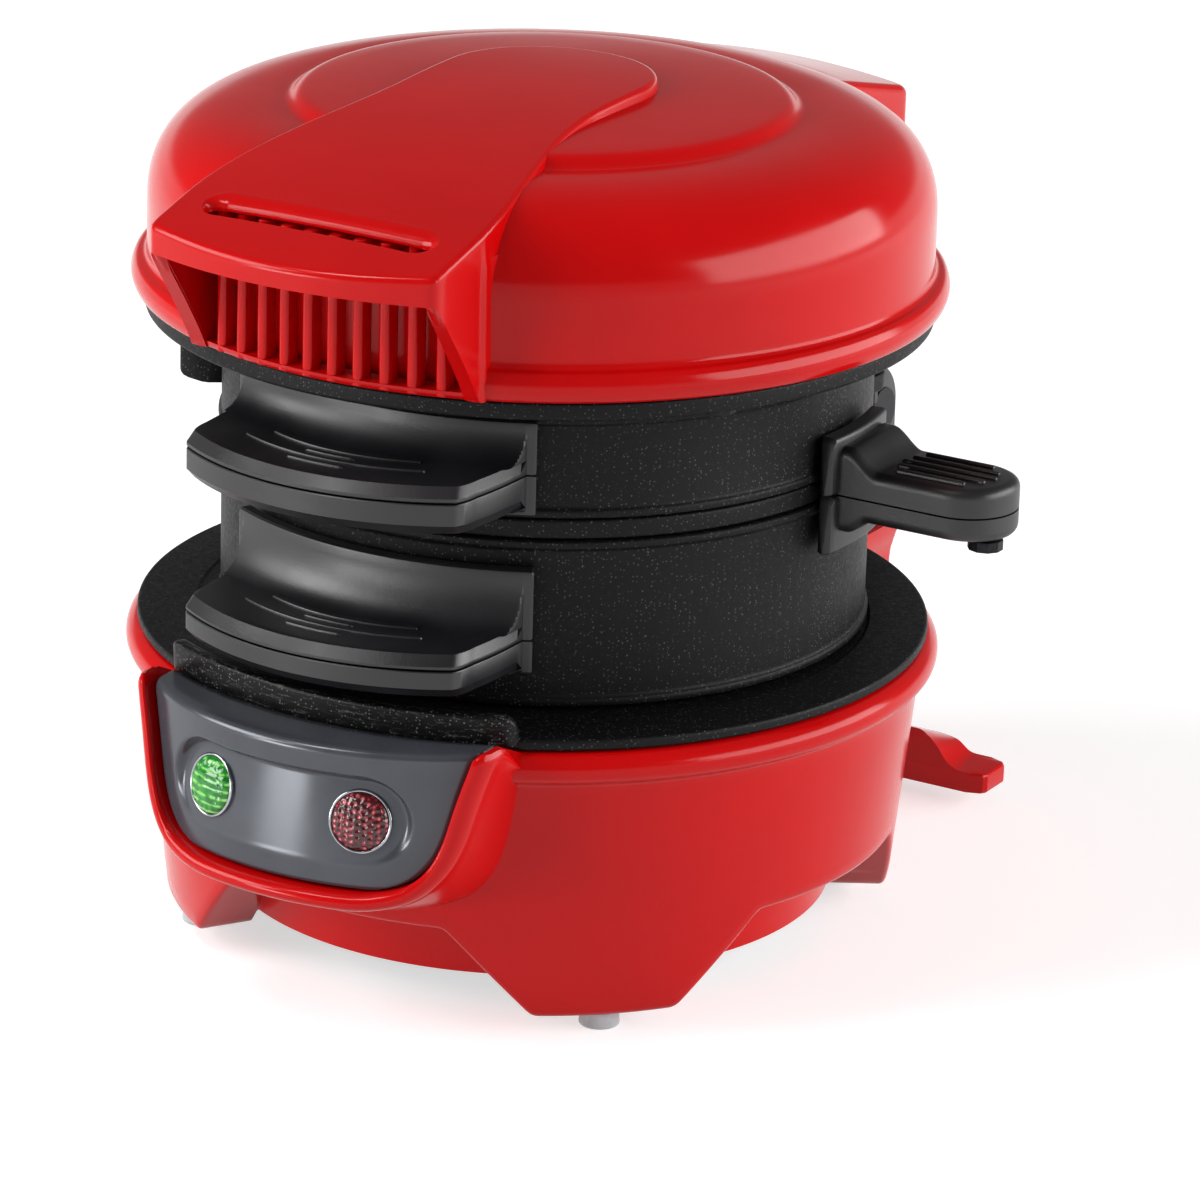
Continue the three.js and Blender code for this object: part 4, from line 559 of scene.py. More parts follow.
# %% [markdown]
# ## The nose and its frame
# At the front the base carries a nose: a U-shaped bead that frames the grey panel, with flanks that
# run back into the wall. The bead is a rounded section swept along the U; its outer side is then
# drawn back to the wall. A tube with a Bevel would give the bead, but not the flanks that grow out
# of it, so each section point slides between the front outline and the rear one.

# %% Sweep the nose
PANEL_AXIS_Y, PANEL_R, FRAME_R, PANEL_TOP = -29.6, 46.0, 48.5, 50.8
U_FLOOR, U_TIP, NOSE_REAR_Y, FRAME_TOP = 28.0, 52, -50.0, 51.8
HALF = np.array([(29.9, 51.9), (29.4, 49.4), (28.3, 46.0), (27.3, 42), (26.2, 37), (24.4, 32.6),
                 (21, 29.4), (15, U_FLOOR), (8, U_FLOOR), (0, U_FLOOR)])


def along(points, count):
    """Points evenly spaced by length along a line of points."""
    length = np.concatenate([[0], np.cumsum(np.linalg.norm(np.diff(points, axis=0), axis=1))])
    at = np.linspace(0, length[-1], count)
    return np.stack([np.interp(at, length, points[:, k]) for k in range(points.shape[1])], 1)


def relaxed(points, passes):
    """Each inner point moves to a quarter, a half and a quarter of its neighbourhood."""
    for _ in range(passes):
        points[1:-1] = 0.25 * points[:-2] + 0.5 * points[1:-1] + 0.25 * points[2:]
    return points


U_LINE = relaxed(along(np.vstack([HALF, HALF[-2::-1] * (-1, 1)]), 161), 24)
slope = np.gradient(U_LINE, axis=0)
U_OUT = np.stack([-slope[:, 1], slope[:, 0]], 1) / np.linalg.norm(slope, axis=1, keepdims=True)
U_OUT *= np.sign((U_OUT * (U_LINE - (0, 42))).sum(1, keepdims=True))


def smooth_step(value, low, high):
    """3t^2 - 2t^3 of where a value lies between two limits."""
    t = np.clip((value - low) / (high - low), 0, 1)
    return t * t * (3 - 2 * t)


def front_y(x, radius):
    """The upright cylinder of the panel and its frame: y = axis - sqrt(r^2 - x^2)."""
    return PANEL_AXIS_Y - np.sqrt(radius ** 2 - x ** 2)


def nose():
    """Rows follow the U; the section runs in the pocket, round the bead and back to the wall."""
    bead = np.array([(0.25, 4.4), (0.25, 1.6), (0.35, 0.9), (0.65, 0.4), (1.1, 0.1), (1.6, 0.0),
                     (2.1, 0.12), (2.5, 0.45), (2.78, 0.95), (2.9, 1.7), (2.9, 2.6)])
    count = np.arange(len(U_LINE))
    ends = np.minimum(count, count[::-1])
    shrink = np.sqrt(np.clip(1 - (1 - np.clip(ends / 3, 0, 1)) ** 2, 0.12, 1))[:, None]
    out = 1.55 + (bead[None, :, 0] - 1.55) * shrink
    deep = bead[None, :, 1] + 1.4 * (1 - shrink)
    flat = U_LINE[:, None] + U_OUT[:, None] * out[..., None]
    front = np.stack([flat[..., 0], front_y(flat[..., 0], FRAME_R) + deep, flat[..., 1]], -1)
    (x, z), (out_x, out_z) = U_LINE.T, U_OUT.T
    low = ((U_TIP - z) / (U_TIP - U_FLOOR)).clip(0, 1)
    rear_y = np.full_like(x, NOSE_REAR_Y)
    rear = np.stack([x + out_x * 3.1, rear_y, z + out_z * 2.6 - 5.5 * low], -1)
    share = np.linspace(0, 1, 15)[1:, None]
    flank = front[:, -1][:, None] * (1 - share) + rear[:, None] * share
    flank[..., 2] -= 1.2 * np.sin(np.pi * share[None, :, 0]) * low[:, None]
    flank[..., 2] -= (flank[..., 2] - 46.3).clip(0) * smooth_step(share[None, :, 0], 0.05, 0.6)
    inner = np.stack([x * 0.9, rear_y, np.minimum(z + 1.0, 46)], -1)[:, None]
    rows = np.concatenate([front, flank, inner], 1)
    rows[..., 2] = np.minimum(rows[..., 2], FRAME_TOP)
    return loft(rows)


print("nose rows:", len(U_LINE))

# %% [markdown]
# ## Pedestal and rear foot
# Behind the wall stands a rounded pedestal that carries the hinge, and a low bar reaches out to both
# sides on the table, so that the open lid cannot tip the base over. Extruded blocks with a Bevel would
# be close, but the pedestal flares at its top and the bar's gussets sink to the rear. So one is a
# stack of outlines and the other a row of sections, and both join the wall and the nose in one piece.

# %% Pedestal, rear foot and the whole base
def pedestal(high=45.5, levels=24):
    """Loops of an oblong; half-width = 20 (1 + 0.065 t^2), with t from 0 to 1 between z = 38 and 43."""
    x, y = oblong(-20, 54, 20, 87, [0.5, 0.5, 1.6, 1.6]).T[:, None]
    z = FOOT_Z + (high - FOOT_Z) * np.linspace(0, 1, levels)[:, None]
    wide = 1 + 0.065 * np.clip((z - 38) / 5, 0, 1) ** 2
    return loft(np.stack([x * wide, y + 0 * z, z + 0 * x], -1))


def rear_foot():
    """Sections in XZ from the front edge to the rear edge of the bar; the gusset sinks to the rear."""
    end = [(45.4, 6.5), (45.4, FOOT_Z)]
    front = np.array([(33.0, 12.6), (35, 11.3), (36.4, 9.9), (37.6, 8.2), (38.8, 7.1), (40.4, 6.5)] + end)
    back = np.array([(32.0, 9.0), (34.4, 8.7), (35.8, 8.3), (36.8, 7.5), (37.6, 6.9), (38.6, 6.5)] + end)
    share = np.linspace(0, 1, 13)
    y = 75.5 + 9.2 * share
    half = front[None] * (1 - share[:, None, None]) + back[None] * share[:, None, None]
    from_end = np.clip(np.minimum(share, 1 - share) * 3.6, 0, 0.5)
    half[:, -2:, 0] -= 2.6 * (1 - np.sin(np.pi * from_end))[:, None]
    full = np.concatenate([half, half[:, ::-1] * (-1, 1)], 1)
    radii = [0.6, 1.5, 0.8, 0.8, 0.8, 1.2, 0.7, 0.7]
    smooth = np.stack([rounded(section, radii + radii[::-1], 3) for section in full])
    return loft(np.stack([smooth[..., 0], y[:, None] + 0 * smooth[..., 0], smooth[..., 1]], -1))


base = make_piece("base_shell", [wall, nose(), pedestal(), rear_foot()], "base", RED,
                  ("base_housing",))
print("base faces:", len(base.data.polygons))

# %% [markdown]
# ## The grey panel
# The panel is a curved sheet that follows the nose's cylinder, with a pill-shaped recess that links
# the two lamps, and a narrow shelf on top that runs back to the heating plate. Its recess is a
# smooth step in depth measured from the pill's edge, and its floor leans back, so it catches the light.

# %% Panel surface
LAMP_X, LAMP_Z, LENS_R, LAMP_TURN = 14.0, 39.0, 4.5, 17.7
RECESS, LEAN = 1.35, 0.19
PILL_R, PANEL_BEND, PANEL_EDGE, PANEL_FOOT, FOOT_BAND = 7.1, 1.2, 0.9, 28.15, 28.4


def panel_sheet(columns=141):
    """Rows go from the shelf's rear edge over the top and down the face; x = half-width * u. The face
    sinks by RECESS + LEAN (z - LAMP_Z) inside the pill and turns back by a quarter circle at its rim."""
    half_w, half_z = U_LINE[80::-1].T
    face_z = np.concatenate([np.linspace(PANEL_TOP - PANEL_BEND, 31, 90),
                             np.linspace(30.9, PANEL_FOOT, 26)])
    w = np.interp(face_z, half_z, half_w)
    low = face_z < FOOT_BAND
    w[low] = np.interp(FOOT_BAND, half_z, half_w) - (FOOT_BAND - face_z[low]) * 10
    u = np.sin(np.linspace(-1, 1, columns) * np.pi / 2 * 0.93) / np.sin(np.pi / 2 * 0.93)
    x = w[:, None] * u[None]
    z = face_z[:, None] + 0 * x
    off = np.hypot(np.maximum(np.abs(x) - LAMP_X, 0), z - LAMP_Z) - PILL_R
    sunk = (RECESS + LEAN * (z - LAMP_Z)) * smooth_step(-off, -0.9, 1.0)
    edge = np.minimum(w[:, None] - np.abs(x), z - PANEL_FOOT)
    back = PANEL_EDGE * (1 - np.sqrt(1 - (1 - np.clip(edge / PANEL_EDGE, 0, 1)) ** 2))
    y = front_y(x, PANEL_R) + sunk + back
    face = np.stack([x, y, z], -1)
    x0, y0 = x[0][None], y[0][None]
    turn, share = np.linspace(0, np.pi / 2, 6)[1:, None], np.linspace(0, 1, 6)[:-1, None]
    bend = np.stack([x0 + 0 * turn, y0 + PANEL_BEND * (1 - np.cos(turn)),
                     PANEL_TOP - PANEL_BEND + PANEL_BEND * np.sin(turn) + 0 * x0], -1)[::-1]
    rear_y = -np.sqrt(66.3 ** 2 - x0 ** 2)
    shelf = np.stack([x0 + 0 * share, rear_y * (1 - share) + (y0 + PANEL_BEND) * share,
                      PANEL_TOP + 0 * x0 * share], -1)
    return grid(np.concatenate([shelf, bend, face], 0))


panel = make_piece("grey_panel", [panel_sheet()], "base", GREY, ("control_panel",), 40)
skin = panel.modifiers.new("thickness", "SOLIDIFY")
skin.thickness, skin.offset = 1.5 * MM, -1
print("panel faces:", len(panel.data.polygons))

# %% [markdown]
# ## Lamps
# Each lamp is a domed lens in a thin bright rim, turned about the line that points straight out of
# the leaning recess. The green lens has flats ground round its edge and level bars in its middle; the
# red lens is dimpled. Both patterns are small waves added to the dome, since they catch real light.

# %% Lenses and rims
LENS_BACK, RIM_BACK, BEAD_R = -1.4, -1.2, 0.26


def lamp_place(side, r, angle, out):
    """A point r, angle about the lamp's line, and out along it from the leaning floor of the recess."""
    turn, lean = math.radians(LAMP_TURN) * side, math.atan(LEAN)
    level = np.array([math.sin(turn), -math.cos(turn), 0.0])
    across = np.array([math.cos(turn), math.sin(turn), 0.0])
    upright = np.array([0, 0, 1.0])
    forward = level * math.cos(lean) + upright * math.sin(lean)
    upward = upright * math.cos(lean) - level * math.sin(lean)
    middle = np.array([0, PANEL_AXIS_Y, LAMP_Z]) + level * (PANEL_R - RECESS)
    return (middle + (r * np.cos(angle))[..., None] * across
            + (r * np.sin(angle))[..., None] * upward + out[..., None] * forward)


def lens(side, wave):
    """Dome: out = 1.5 sqrt(1 - (r / R)^2) + 0.05 with R just past the lens's edge, with the wave added,
    closed by a flat back."""
    turn, edge = np.linspace(0, 2 * np.pi, 144, endpoint=False), LENS_R - 0.05
    angle, r = np.meshgrid(turn, np.linspace(0, edge, 46), indexing="ij")
    out = 1.5 * np.sqrt(1 - (r / (LENS_R + 0.05)) ** 2) + 0.05 + wave(r, angle)
    back = np.ones((144, 2))
    points = lamp_place(side, np.hstack([r, back * (edge, 0)]), np.hstack([angle, back * turn[:, None]]),
                        np.hstack([out, back * LENS_BACK]))
    return grid(points, wrap_rows=True)


def bars_and_flats(r, angle):
    """Level ridges 1.1 mm apart inside 2.8 mm, 20 flats outside it."""
    level = 0.13 * np.abs(np.sin(np.pi * r * np.sin(angle) / 1.1)) * smooth_step(-r, -3.1, -2.6)
    flats = 0.16 * np.abs(np.sin(10 * angle)) * smooth_step(r, 2.8, 3.7) * (1 - smooth_step(r, 4.1, 4.45))
    return level + flats


def dimples(r, angle):
    """Three crossed waves 0.95 mm apart make a honeycomb of shallow dimples."""
    x, z = r * np.cos(angle), r * np.sin(angle)
    k = 2 * np.pi / 0.95
    waves = np.cos(k * x) + np.cos(k * (x / 2 + z * 0.866)) + np.cos(k * (x / 2 - z * 0.866))
    return -0.05 * waves * (1 - smooth_step(r, 3.6, 4.3))


def lamp_rim(side):
    """A small round bead turned about the lamp's line, with a wall that runs back into the panel."""
    t = np.linspace(-0.2, np.pi + 0.2, 14)
    r = np.concatenate([[LENS_R + 0.02], LENS_R + BEAD_R - BEAD_R * np.cos(t), [LENS_R + 0.55]])
    out = np.concatenate([[RIM_BACK], 0.2 + BEAD_R * np.sin(t), [RIM_BACK]])
    angle = np.linspace(0, 2 * np.pi, 96, endpoint=False)[:, None]
    points = lamp_place(side, r + 0 * angle, angle + 0 * r, out + 0 * angle)
    return grid(points, wrap_rows=True, wrap_cols=True)


for colour, side, wave, finish in (("green", -1, bars_and_flats, GREEN), ("red", 1, dimples, RUBY)):
    make_piece(colour + "_lens", [lens(side, wave)], "base", finish, (colour + "_lamp_lens",),
               60)
    make_piece(colour + "_lamp_rim", [lamp_rim(side)], "base", CHROME, ())
print("lamps at height", LAMP_Z)

# %% [markdown]
# ## Feet pads, plate and hinge bracket
# The pads are small buttons of soft plastic with rounded rims. The lower plate is a thin cast disc
# with a curved lip raised at the front. The hinge bracket is two rounded ears on a web, bent from
# one moulding. Turned forms and rounded prisms are enough for all of them.

# %% Pads, lower plate, bracket
PAD_PLACE_R, PAD_R, PAD_HIGH = 54.45, 3.3, 2.6
pad_profile = rounded([(0, 0), (PAD_R, 0), (3.0, PAD_HIGH), (0, PAD_HIGH)], [0, 0.5, 0.2, 0])
for name, angle in zip(("front_right", "front_left", "rear_right", "rear_left"), FOOT_ANGLES):
    x, y = arc(PAD_PLACE_R, angle, angle, 1)[0]
    points, quads, ends = turned(pad_profile, 48)
    make_piece("pad_" + name, [(points + (x, y, 0), quads, ends)], "base", PAD,
               ("foot_pad_" + name,))

plate_profile = rounded([(0, 49.1), (63.9, 49.1), (63.9, 50.9), (54.5, 50.9), (54.2, 50.6), (0, 50.6)],
                        [0, 0.5, 0.7, 0.2, 0.2, 0])
lip_section = rounded([(61, 50), (65.4, 50), (65.6, 55.0), (63.4, 55.0), (62.9, 51.4), (61, 51)],
                      [0, 0.4, 0.7, 0.6, 0.8, 0.1], 4)


def swept_arc(section, start, stop, steps, end_round=1.0, centre_y=0.0):
    """A closed [radius, height] section carried round an upright line, its ends drawn in to 0.15 of
    its size over end_round millimetres, as sqrt(1 - (1 - s)^2)."""
    angle = np.radians(np.linspace(start, stop, steps))[:, None]
    length = np.radians(stop - start) * section[:, 0].mean()
    at = np.linspace(0, length, steps)
    gap = np.clip(np.minimum(at, length - at) / end_round, 0, 1)[:, None]
    size = np.sqrt(1 - (1 - gap) ** 2) * 0.85 + 0.15
    middle = np.array([section[:, 0].mean(), section[:, 1].min()])
    r = middle[0] + (section[None, :, 0] - middle[0]) * size
    z = middle[1] + (section[None, :, 1] - middle[1]) * size
    return loft(around(angle, r, z, centre_y))


make_piece("lower_plate", [turned(plate_profile, 240)], "base", COATED,
           ("lower_heating_plate",))
make_piece("lower_plate_lip", [swept_arc(lip_section, -29.5, 29.5, 160, 2.5)], "base", STREAKED_LIP,
           ())

HINGE_Y, HINGE_Z = 79.5, 66.5
ear = hull_round([(HINGE_Y, HINGE_Z, 7.5), (71.5, 47.3, 1.5), (85.5, 47.3, 1.5)], 30)
ears = [prism(ear, low, high, (0.5, 0.5), "x") for low, high in ((-19.5, -16.4), (16.4, 19.5))]
web = prism(oblong(-19.4, 72.2, 19.4, 84, 0.6), 45.8, 48.4)
make_piece("hinge_ears", ears + [web], "base", BLACK, ("hinge_bracket",))

GLAND_Z, BORE_R = 24, 2.6
gland = rounded([(BORE_R, 79.5), (4, 79.5), (4, 87.3), (6, 87.3), (6, 89), (5.2, 89.4), (5.9, 90),
                 (5.1, 90.6), (5.6, 91.2), (4.8, 93), (BORE_R, 93)], 0.35, 3)
points, quads, ends = turned(gland, 48)
lying = np.stack([points[:, 0], points[:, 2], GLAND_Z + points[:, 1]], -1)
make_piece("cord_inlet", [(lying, quads, ends)], "base", BLACK, ("cord_gland",))
print("base pieces:", len(pieces))

# %% [markdown]
# ## Cooking rings
# Both rings are cast hoops with a thin lip at the top and bottom, and each carries two hinge arms at
# the rear. The hoop is a turned profile. An arm is the band round the knuckle and its two roots, and
# it needs a hole for the pin, so its faces run from the hole's wall out to the outline and back.
# Cutting the hole afterwards would give the same arm with less even faces.

# %% Hoops, arms and collars
RING_Y, RING_R, RING_WALL, LIP_PROUD, LIP_HIGH, LIP_SLOPE = 3.0, 52.2, 2.6, 0.5, 1.2, 1.6


def hoop(low, high):
    """A thin wall with a proud lip at its top and bottom, turned about the rings' own axis."""
    inner, lip = RING_R - RING_WALL, RING_R + LIP_PROUD
    corners = [(inner, low), (lip, low), (lip, low + LIP_HIGH), (RING_R, low + LIP_SLOPE),
               (RING_R, high - LIP_SLOPE), (lip, high - LIP_HIGH), (lip, high), (inner, high)]
    return turned(rounded(corners, [0.4, 0.5, 0.4, 0.5, 0.5, 0.4, 0.5, 0.4], 3), 240, RING_Y)


def collar(outline, centre, hole, low, high, along="z", rim=0.4):
    """A prism with a round hole: each row is the wall of the hole, then the outline's rounded wall."""
    outline = distinct(outline)
    away = outline - centre
    bore = centre + away / np.linalg.norm(away, axis=1, keepdims=True) * hole
    steps = rim_steps(low, high, rim, rim)
    flat = outline[:, None] - outward(outline)[:, None] * steps[None, :, 0, None]
    flat = np.concatenate([bore[:, None], flat, bore[:, None]], 1)
    level = np.concatenate([[low], steps[:, 1], [high]])[None, :, None] + 0 * flat[..., :1]
    return grid(np.concatenate([flat, level], 2)[..., list(AXES[along])], wrap_rows=True, wrap_cols=True)


ARM_THICK, KNUCKLE_R, ROOT_R, PIN_HOLE_R = 3.5, 6.0, 1.4, 2.8


def hinge_arms(inner_x, root_low, root_high, root_y):
    """Two flat arms from the knuckles at the hinge line to the hoop, one at each side."""
    band = hull_round([(HINGE_Y, HINGE_Z, KNUCKLE_R), (root_y, root_low, ROOT_R),
                       (root_y, root_high, ROOT_R)], 40)
    return [collar(band, (HINGE_Y, HINGE_Z), PIN_HOLE_R, low, low + ARM_THICK, "x")
            for low in (inner_x, -inner_x - ARM_THICK)]


def tongue(parting):
    """The flat tang that a grip is screwed to."""
    return prism(oblong(-9, -60.2, 9, -48, 1), parting - 2, parting, (0.2, 0.2))


make_piece("lower_hoop", [hoop(51.2, 78.1), tongue(62.9)] + hinge_arms(2.5, 57.6, 73.7, 54.9),
           "bottom_ring_body", COATED, ("bottom_ring",))

PIVOT, PIVOT_R, PIVOT_HOLE_R = (28, 55), 5, 2.5
guard = swept_arc(rounded([(51.4, 84.6), (59.5, 85.4), (59.5, 97.1), (51.4, 96.3)], [0.3, 1.2, 1.2, 0.3]),
                  -79, -63, 40, 1.2, RING_Y)
boss = collar(hull_round([(*PIVOT, PIVOT_R), (17.9, 51.3, 0.8), (30.5, 44.5, 0.8)], 40),
              PIVOT, PIVOT_HOLE_R, 81.8, 90.8)
make_piece("upper_hoop", [hoop(81.8, 98.1), tongue(89.5), guard, boss] + hinge_arms(6.9, 86.2, 94.7, 54.3),
           "top_ring_body", COATED, ("top_ring",))
print("rings done")

# %% [markdown]
# ## Ring grips
# Each grip is two moulded halves screwed round the ring's tang: a paddle whose front follows a wide
# arc, and a curved flange that lies on the ring. The flange runs into the paddle in a deep cove. A
# box with bevels cannot make the cove, so the grip is worked out as sections round the ring's axis:
# every section has the same flange and cove, and only the distance to the paddle's edge changes.

# %% Grip halves
GRIP_INNER, GRIP_FRONT, GRIP_ARC, GRIP_HALF = 53.0, -71.5, 43.0, 25.2
GRIP_LIP = GRIP_INNER + 2.3


def grip_reach(angle):
    """Distance from the ring's axis to the paddle's edge in each direction, corners rounded."""
    side = math.degrees(math.asin(24.4 / GRIP_ARC))
    front = arc(GRIP_ARC, -side, side, 33, (0, GRIP_FRONT + GRIP_ARC))
    left = np.array([(-GRIP_HALF, -40), (-GRIP_HALF, -61.5)])
    corners = np.vstack([left, front, left[::-1] * (-1, 1)])
    edge = rounded(corners, [0, 2.2, 0.6] + [0] * 31 + [0.6, 2.2, 0]) - (0, RING_Y)
    turn, reach = np.degrees(np.arctan2(edge[:, 0], -edge[:, 1])), np.linalg.norm(edge, axis=1)
    order = np.argsort(turn)
    return np.maximum(np.interp(angle, turn[order], reach[order]), GRIP_LIP)


def grip_half(split, face, flange, cove=5.0, edge=1.6):
    """Section: up the inner wall, over the flange, down a quarter-ellipse cove, out, down the edge."""
    side = np.sign(face - split)
    face, flange = abs(face - split), abs(flange - split)
    angle = np.concatenate([[-29.3], np.linspace(-29, 29, 233), [29.3]])
    reach = grip_reach(angle)[:, None]
    t = np.linspace(0, np.pi / 2, 12)
    inner = np.array([(GRIP_INNER, 0.15), (GRIP_INNER, flange - 0.3), (GRIP_INNER + 0.3, flange),
                      (GRIP_LIP - 0.5, flange), (GRIP_LIP - 0.1, flange - 0.25)])
    hollow = np.stack([GRIP_LIP + cove * (1 - np.cos(t)),
                       face + (flange - 0.6 - face) * (1 - np.sin(t))], 1)
    fixed = np.vstack([inner, hollow])[None]
    lean = np.array([(1.0, 0.0), (0.93, 0.02), (0.12, 0.88), (0.0, 1.0)]) * edge
    room = np.clip((reach - GRIP_LIP) / edge, 0, 1)
    flat = np.linspace(0.25, 0.9, 5) * (reach - edge - GRIP_LIP - cove) + GRIP_LIP + cove
    r = np.concatenate([np.minimum(fixed[..., 0], reach), np.minimum(flat, reach),
                        reach - lean[:, 0] * room, reach, reach - 0.15 * room,
                        np.full_like(reach, GRIP_LIP - 1)], 1)
    h = np.concatenate([fixed[..., 1] + 0 * reach, np.full_like(flat, face), face - lean[:, 1] * room,
                        np.array([[0.3, 0.15, 0.15]]) + 0 * reach], 1)
    shrink = np.where(np.abs(angle) > 29.1, 0.9, 1.0)[:, None]
    r = GRIP_INNER + 1.2 + (r - GRIP_INNER - 1.2) * shrink
    h = flange / 2 + (h - flange / 2) * (1 - (1 - shrink) * 0.4)
    return loft(around(np.radians(angle)[:, None], r, split + side * h, RING_Y))


def grip_ridges(face):
    """Low arched ridges on the paddle, long and short in turn, concentric with its front edge."""
    forms = []
    for radius, half in ((30.2, 26), (32.6, 8), (34.8, 28), (36.9, 8)):
        wide = 0.8 if radius < 31 else 0.45
        section = oblong(radius - wide, face - 0.4, radius + wide, face + 0.4, [0, 0, 0.35, 0.35], 4)
        forms.append(swept_arc(section, -half, half, 61, 0.8, GRIP_FRONT + GRIP_ARC))
    return forms


for ring, split, top, bottom, flange_top, flange_bottom in (
        ("bottom_ring", 62.9, 65.2, 58.4, 74.2, 57.2), ("top_ring", 89.5, 91.9, 84.4, 98.0, 82.9)):
    make_piece(ring + "_paddle_top", [grip_half(split, top, flange_top)] + grip_ridges(top),
               ring + "_body", BLACK, (ring + "_grip_top",), 28)
    make_piece(ring + "_paddle_bottom", [grip_half(split, bottom, flange_bottom, 3.0)],
               ring + "_body", BLACK, (ring + "_grip_bottom",), 28)
print("grips done")

# %% [markdown]
# ## Covers over an outline
# The egg plate's grip, the lid's strap and its tail are all skins that span a plan outline, with a
# rounded rim and a flank that falls from it. One function builds them: loops run from the middle
# line out over the top, round the rim and down, and for a thin shell they come back inside. Sculpting
# a subdivided slab could look alike, but would not keep the drawing's sizes.

# %% Cover function
def half_and_mirror(half):
    """A right half from the rear middle to the front middle, joined with its mirror image."""
    half = distinct(half, 0.01)
    return np.vstack([half, (half * (-1, 1))[::-1][(1 if abs(half[-1, 0]) < 1e-6 else 0):
                                                   (-1 if abs(half[0, 0]) < 1e-6 else None)]])


def cover(outline, top, bottom, rim=0.8, wall=0.0, draft=None, across=14):
    """Loops (s x, y) at height top, then r(1 - sin t) in and down round the rim, then the flank to
    bottom(y), moved out by draft; a wall adds the same loops inside, a wall of 0 ends in a flat face."""
    normal = outward(outline)

    def level(flat, drop):
        return np.concatenate([flat, (top(flat[:, 0], flat[:, 1]) - drop)[:, None]], 1)

    shares = np.sin(np.linspace(0, np.pi / 2, across))
    loops = [level((outline - normal * rim) * (s, 1), 0) for s in shares]
    for t in np.linspace(0, np.pi / 2, 6)[1:]:
        loops.append(level(outline - normal * rim * (1 - np.sin(t)), rim * (1 - np.cos(t))))
    start, end = loops[-1][:, 2], bottom(outline[:, 1])
    for s in np.linspace(0, 1, 12)[1:]:
        out = normal * (draft(outline[:, 1], s)[:, None] if draft else 0)
        loops.append(np.concatenate([outline + out, (start + (end - start) * s)[:, None]], 1))
    if not wall:
        points, quads, ends = loft(np.array(loops))
        return points, quads, ends[1:]
    inside = outline - normal * wall
    inside[:, 0] = np.where(outline[:, 0] * inside[:, 0] < 0, 0, inside[:, 0])
    under = top(inside[:, 0], inside[:, 1]) - wall
    loops.append(np.concatenate([inside, np.minimum(end, under - 0.2)[:, None]], 1))
    loops += [np.concatenate([inside * (s, 1), (top(inside[:, 0] * s, inside[:, 1]) - wall)[:, None]], 1)
              for s in shares[::-1]]
    return grid(np.array(loops), wrap_cols=True)


print("cover is ready")

# %% [markdown]
# ## Egg plate and its grip
# The egg plate is a shallow dish that swings on a lug at the rear right. Its grip is again two
# halves: a round-ended paddle with five ribs for the thumb, a block that rises to the flange, and
# a flange that follows the ring. The block's slope is part of the paddle's height formula.

# %% Dish, lug and grip
dish = rounded([(0, 78.4), (52.3, 78.4), (52.3, 81.5), (47.3, 81.5), (45.3, 80.2), (0, 80.2)],
               [0, 0.5, 0.6, 0.6, 0.8, 0])
lug = collar(hull_round([(*PIVOT, PIVOT_R), (17.4, 49.8, 1), (31.5, 43, 1)], 40),
             PIVOT, PIVOT_HOLE_R, 78.45, 81.45)
tang = prism(oblong(49, 3, 73, 11, 0.8), 79.05, 80.85, (0.2, 0.2))
make_piece("egg_dish", [turned(dish, 240, RING_Y), lug, tang], "egg_plate_body", COATED,
           ("egg_plate",))

EGG_SPLIT, EGG_Y, EGG_TIP, EGG_HALF, EGG_BACK, EGG_COVE = 79.95, 7.0, 82.1, 8.2, 54.3, 56.8
turn = np.linspace(np.pi, np.pi / 2, 25)
tip = np.stack([-EGG_HALF * np.cos(turn), EGG_TIP - EGG_HALF + EGG_HALF * np.sin(turn)], 1)[::-1]
side = np.stack([np.full(40, EGG_HALF), np.linspace(73.4, 54.8, 40)], 1)
EGG_PLAN = half_and_mirror(np.vstack([[(0, EGG_TIP)], tip, side, [(7.8, EGG_BACK), (0, EGG_BACK)]]))


def egg_face(level, rise, run):
    """Height of the paddle: level + rise (1 - 3t^2 + 2t^3) from the cove's start over the run, and
    0.25 mm lower at both edges."""
    return lambda x, y: (level + rise * (1 - smooth_step(y, EGG_COVE, EGG_COVE + run))
                         - 0.25 * (x / EGG_HALF) ** 2)


def egg_half(level, rise, run, side):
    """The cover laid along +X about y = 7, and turned over for the lower half."""
    points, quads, ends = cover(EGG_PLAN, egg_face(level, rise, run), lambda y: 0.15 + 0 * y, 1.5)
    return np.stack([points[:, 1], EGG_Y + points[:, 0], EGG_SPLIT + side * points[:, 2]], 1), quads, ends


def egg_flange(low, high):
    """A plate that follows the ring for 10.85 degrees to both sides of the grip's middle."""
    section = oblong(53.3, low, 55.9, high, [0.3, 0.9, 0.9, 0.3])
    return swept_arc(section, 94.3 - 10.85, 94.3 + 10.85, 41, 1.0, RING_Y)


RIB_HALF, RIB_GAP, RIB_LOW, RIB_HIGH = 0.45, 2.5, 84.2, 85.15
ribs = []
for place, x0, x1 in ((-2, 64, 76), (-1, 63, 78.2), (0, 62.5, 79), (1, 63, 78.2), (2, 64, 76)):
    y = EGG_Y + RIB_GAP * place
    ribs.append(prism(oblong(x0, y - RIB_HALF, x1, y + RIB_HALF, 0.4), RIB_LOW, RIB_HIGH, (0, 0.35)))
make_piece("egg_paddle_top", [egg_half(4.75, 3.3, 5.5, 1), egg_flange(80.1, 89.45)] + ribs,
           "egg_plate_body", BLACK, ("egg_grip_top",), 28)
make_piece("egg_paddle_bottom", [egg_half(4.15, 2.2, 4.0, -1), egg_flange(70.45, 79.8)],
           "egg_plate_body", BLACK, ("egg_grip_bottom",), 28)
print("egg plate done")

